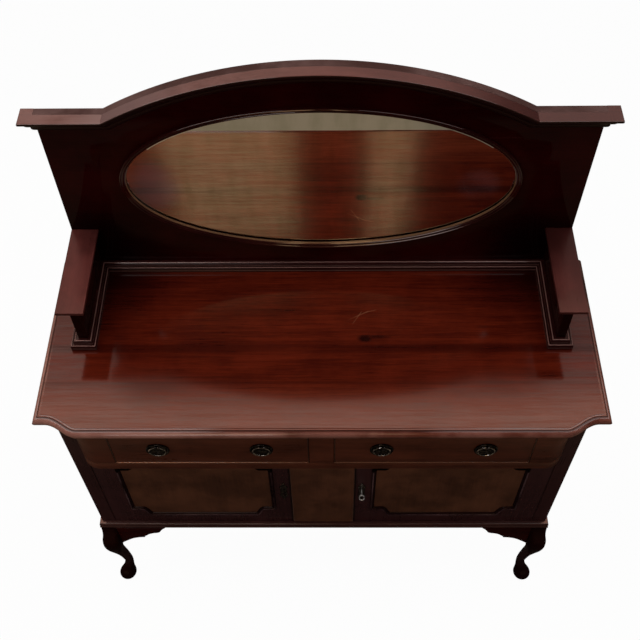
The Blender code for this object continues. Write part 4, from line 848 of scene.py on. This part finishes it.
KEY_BOW, KEY_BAR, KEY_REACH, SHANK_STEPS, BOW_STEPS = 0.0068, 0.0014, 0.019, 24, 40
KEY_SHANK = (  # radius, and depth behind the door's face, in mm
    (0.8, 6.0), (1.3, 5.6), (1.6, 5.2), (1.6, -8.2), (2.3, -8.8), (2.6, -9.6), (2.3, -10.4),
    (1.6, -11.0), (1.7, -16.0), (2.3, -16.8), (2.5, -17.6), (1.9, -18.6), (1.2, -19.4))
steel = metal("key_steel", (0.60, 0.60, 0.59), (0.90, 0.90, 0.88), 0.30, 0.2, 0.6)
lock_brass = metal("lock_brass", (0.40, 0.28, 0.12), (0.62, 0.46, 0.22), 0.32)
key = bmesh.new()
turned(key, [(r / 1000, d / 1000) for r, d in KEY_SHANK], (KEY_X, DOOR_Y, KEY_Z), SHANK_STEPS)
hoop(key, (KEY_X, DOOR_Y - KEY_REACH - KEY_BOW, KEY_Z), KEY_BOW, KEY_BAR, BOW_STEPS, level)
emit("door_key", key, steel, "key_body", ["key"], 45)
dress(("lock_bolt",), lock_brass, FINE_EASE)


# Back board. One wide arched board with an oval sawn out of it for the mirror. Its polish is dark
# and red, its top edge is worn, and a short crack runs near the right-hand end.
WING_Z, ARCH_RADIUS, ARCH_Z, ARCH_STEPS, HALF_BACK, BOARD_FACE = 1.554, 0.931, 0.753, 96, 0.627, 0.24075
MIRROR_A, MIRROR_B, MIRROR_Z, OVAL_STEPS = 0.4745, 0.235, 1.338, 144
SIGHT_INSET, OVAL_EASE = 0.0075, 0.0006
CRACK_Z, CRACK_START, CRACK_END = 1.4775, (0.372, 0.376), (0.450, 0.455)


def arch_reach(drop):
    """Half width at which the arch, this far in from its edge, meets the wing this far down."""
    return math.sqrt((ARCH_RADIUS - drop) ** 2 - (WING_Z - drop - ARCH_Z) ** 2)


def arch(drop, margin=0.0):
    """Points along the arch, this far in from its edge, from right to left."""
    end = math.asin((arch_reach(drop) - margin) / (ARCH_RADIUS - drop))
    angles = [end * (1 - 2 * i / ARCH_STEPS) for i in range(ARCH_STEPS + 1)]
    radius = ARCH_RADIUS - drop
    return [(radius * math.sin(a), ARCH_Z + radius * math.cos(a)) for a in angles]


def oval(inset):
    """The oval of the mirror, drawn in by the inset."""
    turns = [2 * math.pi * i / OVAL_STEPS for i in range(OVAL_STEPS)]
    return moved_in([(MIRROR_A * math.cos(t), MIRROR_Z + MIRROR_B * math.sin(t)) for t in turns], inset)


def top_edge(x, z):
    """1 along the top of the wings and the arch, and 0 just below it."""
    high = z - ARCH_Z
    reach = (x.math("SQRT", x * x + high * high) - ARCH_RADIUS).smaller(z - WING_Z)
    return reach.band(-0.0016, -0.0004)


def board_marks(x, y, z, colour, polish, mottle, streak):
    """A greyish top edge, painted shade towards both ends low down under the arms, and a short pale crack.
    """
    upper = top_edge(x, z)
    grime = mottle.band(0.35, 0.68).blend((0.070, 0.034, 0.029), (0.145, 0.082, 0.073))
    colour = upper.blend(colour, grime)
    # Painted shade towards both ends of the board, low down by the arms.
    shade = x.distance().band(0.33, 0.52) * z.band(1.36, 1.12)
    colour = (shade * 0.85).blend(colour, (0.0015, 0.0004, 0.0006))
    crack = (z - (CRACK_Z + mottle * 0.001)).distance().band(0.0007, 0.0002)
    crack = crack * x.between(CRACK_START, CRACK_END)
    colour = (crack * 0.55).blend(colour, (0.115, 0.030, 0.030))
    return colour, polish + upper, z.band(1.520, 1.550)


panel_polish = timber("panel_polish", (0.0150, 0.0006, 0.0008), (0.036, 0.0018, 0.0020), "x", gloss=0.30,
                      coat=0.20, specular=0.0, cloud=0.6, touch=board_marks)
board_outline = [(-HALF_BACK, WING_Z), (-HALF_BACK, TOP_Z + HAIR), (HALF_BACK, TOP_Z + HAIR),
                 (HALF_BACK, WING_Z)] + arch(0)
back_board = bmesh.new()
plate(back_board, [board_outline, oval(SIGHT_INSET)], BOARD_FACE, TOP_BACK, OVAL_EASE, upright)
emit("mirror_board", back_board, panel_polish, "carcase", ["back_board"])


# Cornice. A cavetto under a square edge, mitred where the arch meets the wings and returned round
# their ends. Its top is rubbed pale and greyish, with painted light on the left and painted shade
# towards the right.
CORNICE_OUT, CORNICE_DOWN, ON_BOARD = 0.030, 0.041, BOARD_FACE - HAIR
CORNICE_SECTION = (  # shares of the projection and of the height, from the top down
    (0.0, 0.0), (0.965, 0.0), (0.99, 0.012), (1.0, 0.035), (1.0, 0.105), (0.985, 0.15), (0.95, 0.185),
    (0.88, 0.205), (0.77, 0.215), (0.75, 0.23), (0.75, 0.265), (0.725, 0.285), (0.69, 0.325),
    (0.655, 0.38), (0.61, 0.44), (0.555, 0.50), (0.49, 0.56), (0.42, 0.61), (0.35, 0.65),
    (0.30, 0.69), (0.30, 0.79), (0.27, 0.85), (0.22, 0.92), (0.16, 0.975), (0.13, 1.0), (0.0, 1.0))
VALLEY_X = -0.42


def cornice_top(x, y, z, colour, polish, mottle, streak):
    """Worn, dusty pale top with painted light at left and painted shade at right; a dark line parts it from
    the board's worn top edge.
    """
    cove_dark, groove_dark, right_painted_shade = (0.010, 0.0012, 0.0010), (0.012, 0.003, 0.003), (0.040, 0.012, 0.011)
    dust_and_light_tone, valley_dust = (0.165, 0.086, 0.077), (0.190, 0.122, 0.113)
    upper = top_edge(x, z)
    colour = upper.blend(cove_dark, colour)
    groove = upper * (y - ON_BOARD).distance().band(0.0022, 0.0004)
    colour = (groove * 0.75).blend(colour, groove_dark)
    # Painted shade: the top is darkened towards the right.
    colour = (upper * x.band(0.0, 0.60) * 0.9).blend(colour, right_painted_shade)
    valley = (x - VALLEY_X).distance().band(0.16, 0.04)
    # Dust, laid only on the left, where it also stands in as painted light.
    dust_and_left_light = upper * (mottle.band(0.35, 0.65) * 0.5 + streak * 0.3) * (1 - x.band(-0.35, 0.1))
    colour = dust_and_left_light.blend(colour, dust_and_light_tone)
    colour = (upper * valley * 0.6).blend(colour, valley_dust)
    return colour, polish, 1 - upper * 0.9


cornice_polish = timber("cornice_polish", (0.066, 0.0165, 0.0125), (0.125, 0.038, 0.030), gloss=0.36,
                        coat=0.5, specular=0.3, tint=(1.0, 0.75, 0.68), cloud=0.6, bump=0.3,
                        touch=cornice_top)
arch_moulding = bmesh.new()
rings = [[] for _ in range(ARCH_STEPS + 1)]
for out, down in CORNICE_SECTION:
    for ring, (x, z) in zip(rings, arch(CORNICE_DOWN * down, HAIR)):
        ring.append((x, ON_BOARD - CORNICE_OUT * out, z))
skin(arch_moulding, rings)
emit("arch_moulding", arch_moulding, cornice_polish, "carcase", ["cornice_arch"])
for word, side in (("left", -1), ("right", 1)):
    rings = [[], [], []]
    for out, down in CORNICE_SECTION:
        y, z = ON_BOARD - CORNICE_OUT * out, WING_Z - CORNICE_DOWN * down
        x = HALF_BACK + HAIR + CORNICE_OUT * out
        rings[0].append((side * arch_reach(CORNICE_DOWN * down), y, z))
        rings[1].append((side * x, y, z))
        rings[2].append((side * x, TOP_BACK, z))
    wing = bmesh.new()
    skin(wing, rings)
    emit("wing_moulding_" + word, wing, cornice_polish, "carcase", ["cornice_" + word])


# Mirror. Old silvered plate glass with a wide bevel, held by a small moulded oval frame. It leans
# forward a little at the top. The silvering is foggy in two places and has painted shade towards
# the right.
FRAME_SECTION = (  # in from the oval, and proud of the board, in mm
    (0.0, 0.0), (0.0, 4.5), (0.5, 6.2), (1.5, 7.9), (3.0, 8.9), (4.5, 8.3), (5.6, 7.2), (6.5, 6.4),
    (7.2, 6.6), (8.6, 7.3), (10.0, 7.1), (12.0, 5.8), (14.0, 3.8), (15.4, 2.2), (16.0, 1.2), (16.0, 0.0))
LIP_INSET = 0.0142
GLASS_EDGE, GLASS_THICKNESS, BEVEL_WIDTH, BEVEL_DEPTH, LEAN = 0.0078, 0.0048, 0.012, 0.0007, 0.0072
FOG_PATCHES = (  # middle, half size, strength
    (-0.395, 1.325, 0.060, 0.085, 1.0), (0.375, 1.325, 0.050, 0.050, 0.5))


def painted_lip_highlight(x, y, z, colour, polish, mottle, streak):
    """A thin pale painted highlight along the lip against the glass."""
    east, up = x / (MIRROR_A - LIP_INSET), (z - MIRROR_Z) / (MIRROR_B - LIP_INSET)
    # Painted highlight on the lip against the glass.
    lit_lip = (east * east + up * up).band(1.004, 0.997)
    return (lit_lip * (0.35 + mottle * 0.5)).blend(colour, (0.26, 0.140, 0.070)), polish


rim_polish = timber("rim_polish", (0.013, 0.0012, 0.0012), (0.032, 0.0036, 0.0034), "x", gloss=0.16,
                    coat=0.75, specular=0.3, tint=(1.0, 0.6, 0.5), bump=0.1, touch=painted_lip_highlight)
rim = bmesh.new()
skin(rim, [[(x, ON_BOARD - proud / 1000, z) for x, z in oval(inset / 1000)]
           for inset, proud in FRAME_SECTION], around=True)
emit("oval_frame", rim, rim_polish, "carcase", ["mirror_frame"])

CLEAR_SILVER, SMEARED_SILVER = (0.90, 0.87, 0.83), (0.76, 0.75, 0.68)
SHADED_RIGHT_SILVER, FOGGED_SILVER = (0.50, 0.56, 0.60), (0.72, 0.62, 0.72)
silvering = bpy.data.materials.new("silvering")
silvering.use_nodes = True
silver = silvering.node_tree.nodes["Principled BSDF"]
glass = Socket(silvering.node_tree)
spot = glass.node("TexCoord", out=3)
haze = glass.node("TexNoise", {}, {"Vector": spot, "Scale": 9.0, "Detail": 5.0, "Roughness": 0.65})
smears = glass.node("TexNoise", {}, {"Vector": glass.node("Mapping", {}, {0: spot, 3: (5.0, 1.0, 0.9)}),
                                     "Scale": 9.0, "Detail": 3.0})
place = glass.node("SeparateXYZ", {}, {0: spot})
fog = 0.0
for x, z, wide, tall, share in FOG_PATCHES:
    east, up = (place - x) / wide, (place.also(2) - z) / tall
    fog = fog + (east * east + up * up).band(1.6, 0.1) * share
fog = fog * (haze.band(0.32, 0.62) * 0.7 + 0.3)
tone = (haze * 0.5 + smears * 0.5).band(0.40, 0.62).blend(CLEAR_SILVER, SMEARED_SILVER)
# Painted shade: the silvering is darker towards the right.
tone = (place.band(0.16, 0.34) * 0.8).blend(tone, SHADED_RIGHT_SILVER)
silvering.node_tree.links.new(fog.blend(tone, FOGGED_SILVER).out, silver.inputs["Base Color"])
silvering.node_tree.links.new((haze * 0.05 - 0.012).out, silver.inputs["Roughness"])
silvering.node_tree.links.new((1 - fog * 0.07).out, silver.inputs["Metallic"])
pane = bmesh.new()
skin(pane, [[(x, BOARD_FACE + depth + LEAN * (MIRROR_Z + MIRROR_B - z) * (depth < GLASS_THICKNESS), z)
             for x, z in oval(GLASS_EDGE + inset)]
            for inset, depth in ((0.0, GLASS_THICKNESS), (0.0, BEVEL_DEPTH), (BEVEL_WIDTH, 0.0))])
emit("mirror_pane", pane, silvering, "carcase", ["mirror_glass"], sharp=2)
dress(("mirror_backing",), back_pine, FINE_EASE)


# Arms. A shelf at each end on a pierced support, which stands on a stepped moulding that turns to
# run along the foot of the back board. The shelves are rubbed, with painted shade on the right one;
# the supports are nearly black.
ARM_FRONT, ARM_TOP, ARM_LOW, ARM_WIDTH, ARM_EASE = -0.02055, 1.172, 1.163, 0.068, 0.0022
SUPPORT_OUTER, SUPPORT_INNER, SUPPORT_FRONT = 0.600, 0.576, -0.00455
SUPPORT_LOW, SUPPORT_EASE = 1.0471, 0.0012
CUTOUT_HALF, CUTOUT_RADIUS, CUTOUT_STEPS = 0.040, 0.025, 16
STEP_BACK, FOOT_Z, FOOT_BACK_RISE = 0.019, TOP_Z + HAIR, 0.0255
FOOT_SECTION = (  # in from the outline, and up, in mm
    (0.0, 0.0), (0.0, 15.3), (0.4, 16.3), (1.4, 16.9), (2.2, 16.6), (5.5, 15.9), (5.6, 15.2),
    (7.4, 15.2), (7.5, 18.5), (7.7, 20.4), (8.1, 22.4), (8.7, 24.4), (9.6, 25.8), (11.0, 26.5),
    (14.0, 25.9))


def arm_shade(x, y, z, colour, polish, mottle, streak):
    """Painted shade darkens the right-hand shelf, most of all at its back end."""
    # Painted shade on the right-hand shelf, deeper towards the back.
    painted_shelf_shade = x.band(0.0, 0.5) * (0.35 + y.band(0.05, 0.20) * 0.5)
    return painted_shelf_shade.blend(colour, (0.020, 0.0045, 0.0040)), polish


def painted_step_highlights(x, y, z, colour, polish, mottle, streak):
    """A pale painted highlight along the arris of each step; the hollows between are nearly black."""
    # Painted highlights at the arris of each step.
    top_step = z.band(FOOT_Z + 0.0260, FOOT_Z + 0.0264)
    middle_step = z.between((FOOT_Z + 0.0163, FOOT_Z + 0.0167), (FOOT_Z + 0.0171, FOOT_Z + 0.0177))
    low_step = z.between((FOOT_Z + 0.0037, FOOT_Z + 0.0045), (FOOT_Z + 0.0059, FOOT_Z + 0.0067))
    lit_arris = top_step + middle_step + low_step * 0.5
    return (lit_arris * (0.5 + mottle * 0.5)).blend(colour, (0.30, 0.165, 0.140)), polish


arm_polish = timber("arm_polish", (0.040, 0.0090, 0.0080), (0.110, 0.027, 0.023), "y", gloss=0.30,
                    coat=0.03, specular=0.18, tint=(1.0, 0.75, 0.7), cloud=0.7, touch=arm_shade)
foot_polish = timber("foot_polish", (0.014, 0.0026, 0.0024), (0.036, 0.0075, 0.0066), "x", gloss=0.22,
                     coat=0.25, specular=0.3, tint=(1.0, 0.85, 0.8), bump=0.15, touch=painted_step_highlights)
for word, side in (("left", -1), ("right", 1)):
    near, far = sorted((side * HALF_BACK, side * (HALF_BACK - ARM_WIDTH)))
    shelf = bmesh.new()
    shelf_outline = [(near, ARM_FRONT), (far, ARM_FRONT), (far, ON_BOARD), (near, ON_BOARD)]
    plate(shelf, [shelf_outline], ARM_LOW, ARM_TOP, ARM_EASE, level)
    emit("arm_top_" + word, shelf, arm_polish, "carcase", ["arm_shelf_" + word])
    low, high = SUPPORT_LOW, ARM_LOW - HAIR
    outline = [(SUPPORT_FRONT, low), (ON_BOARD, low), (ON_BOARD, high), (SUPPORT_FRONT, high)]
    centre_y, centre_z = (SUPPORT_FRONT + ON_BOARD) / 2, (low + high) / 2
    cutout = []
    for end in (1, -1):
        for i in range(CUTOUT_STEPS + 1):
            angle = math.pi * (i / CUTOUT_STEPS - 0.5)
            cutout.append((centre_y + end * (CUTOUT_HALF + CUTOUT_RADIUS * math.cos(angle)),
                           centre_z + end * CUTOUT_RADIUS * math.sin(angle)))
    support = bmesh.new()
    depths = sorted((side * SUPPORT_INNER, side * SUPPORT_OUTER))
    plate(support, [outline, cutout], depths[0], depths[1], SUPPORT_EASE, sideways)
    emit("pierced_support_" + word, support, deep_polish, "carcase", ["arm_support_" + word])
    rings = []
    for inset, up in FOOT_SECTION:
        step = inset / 1000
        outer, turned_in = SUPPORT_OUTER + STEP_BACK - step, SUPPORT_INNER - STEP_BACK + step
        y = SUPPORT_FRONT - STEP_BACK + step
        ring = [(outer, ON_BOARD), (outer, y), (turned_in, y), (turned_in, ON_BOARD - STEP_BACK + step),
                (SUPPORT_INNER, ON_BOARD)]
        rings.append([(side * x, depth, FOOT_Z + up / 1000) for x, depth in ring])
    plinth = bmesh.new()
    skin(plinth, rings)
    emit("arm_plinth_" + word, plinth, foot_polish, "carcase", ["support_plinth_" + word])
rings = []
for side in (-1, 1):
    end = SUPPORT_INNER - HAIR * 2
    ring = [(side * end, ON_BOARD, FOOT_Z + FOOT_BACK_RISE), (side * end, ON_BOARD, FOOT_Z)]
    for inset, up in FOOT_SECTION:
        ring.append((side * (end - STEP_BACK + inset / 1000), ON_BOARD - STEP_BACK + inset / 1000,
                     FOOT_Z + up / 1000))
    rings.append(ring)
foot = bmesh.new()
skin(foot, rings)
emit("foot_moulding_run", foot, foot_polish, "carcase", ["foot_moulding"])
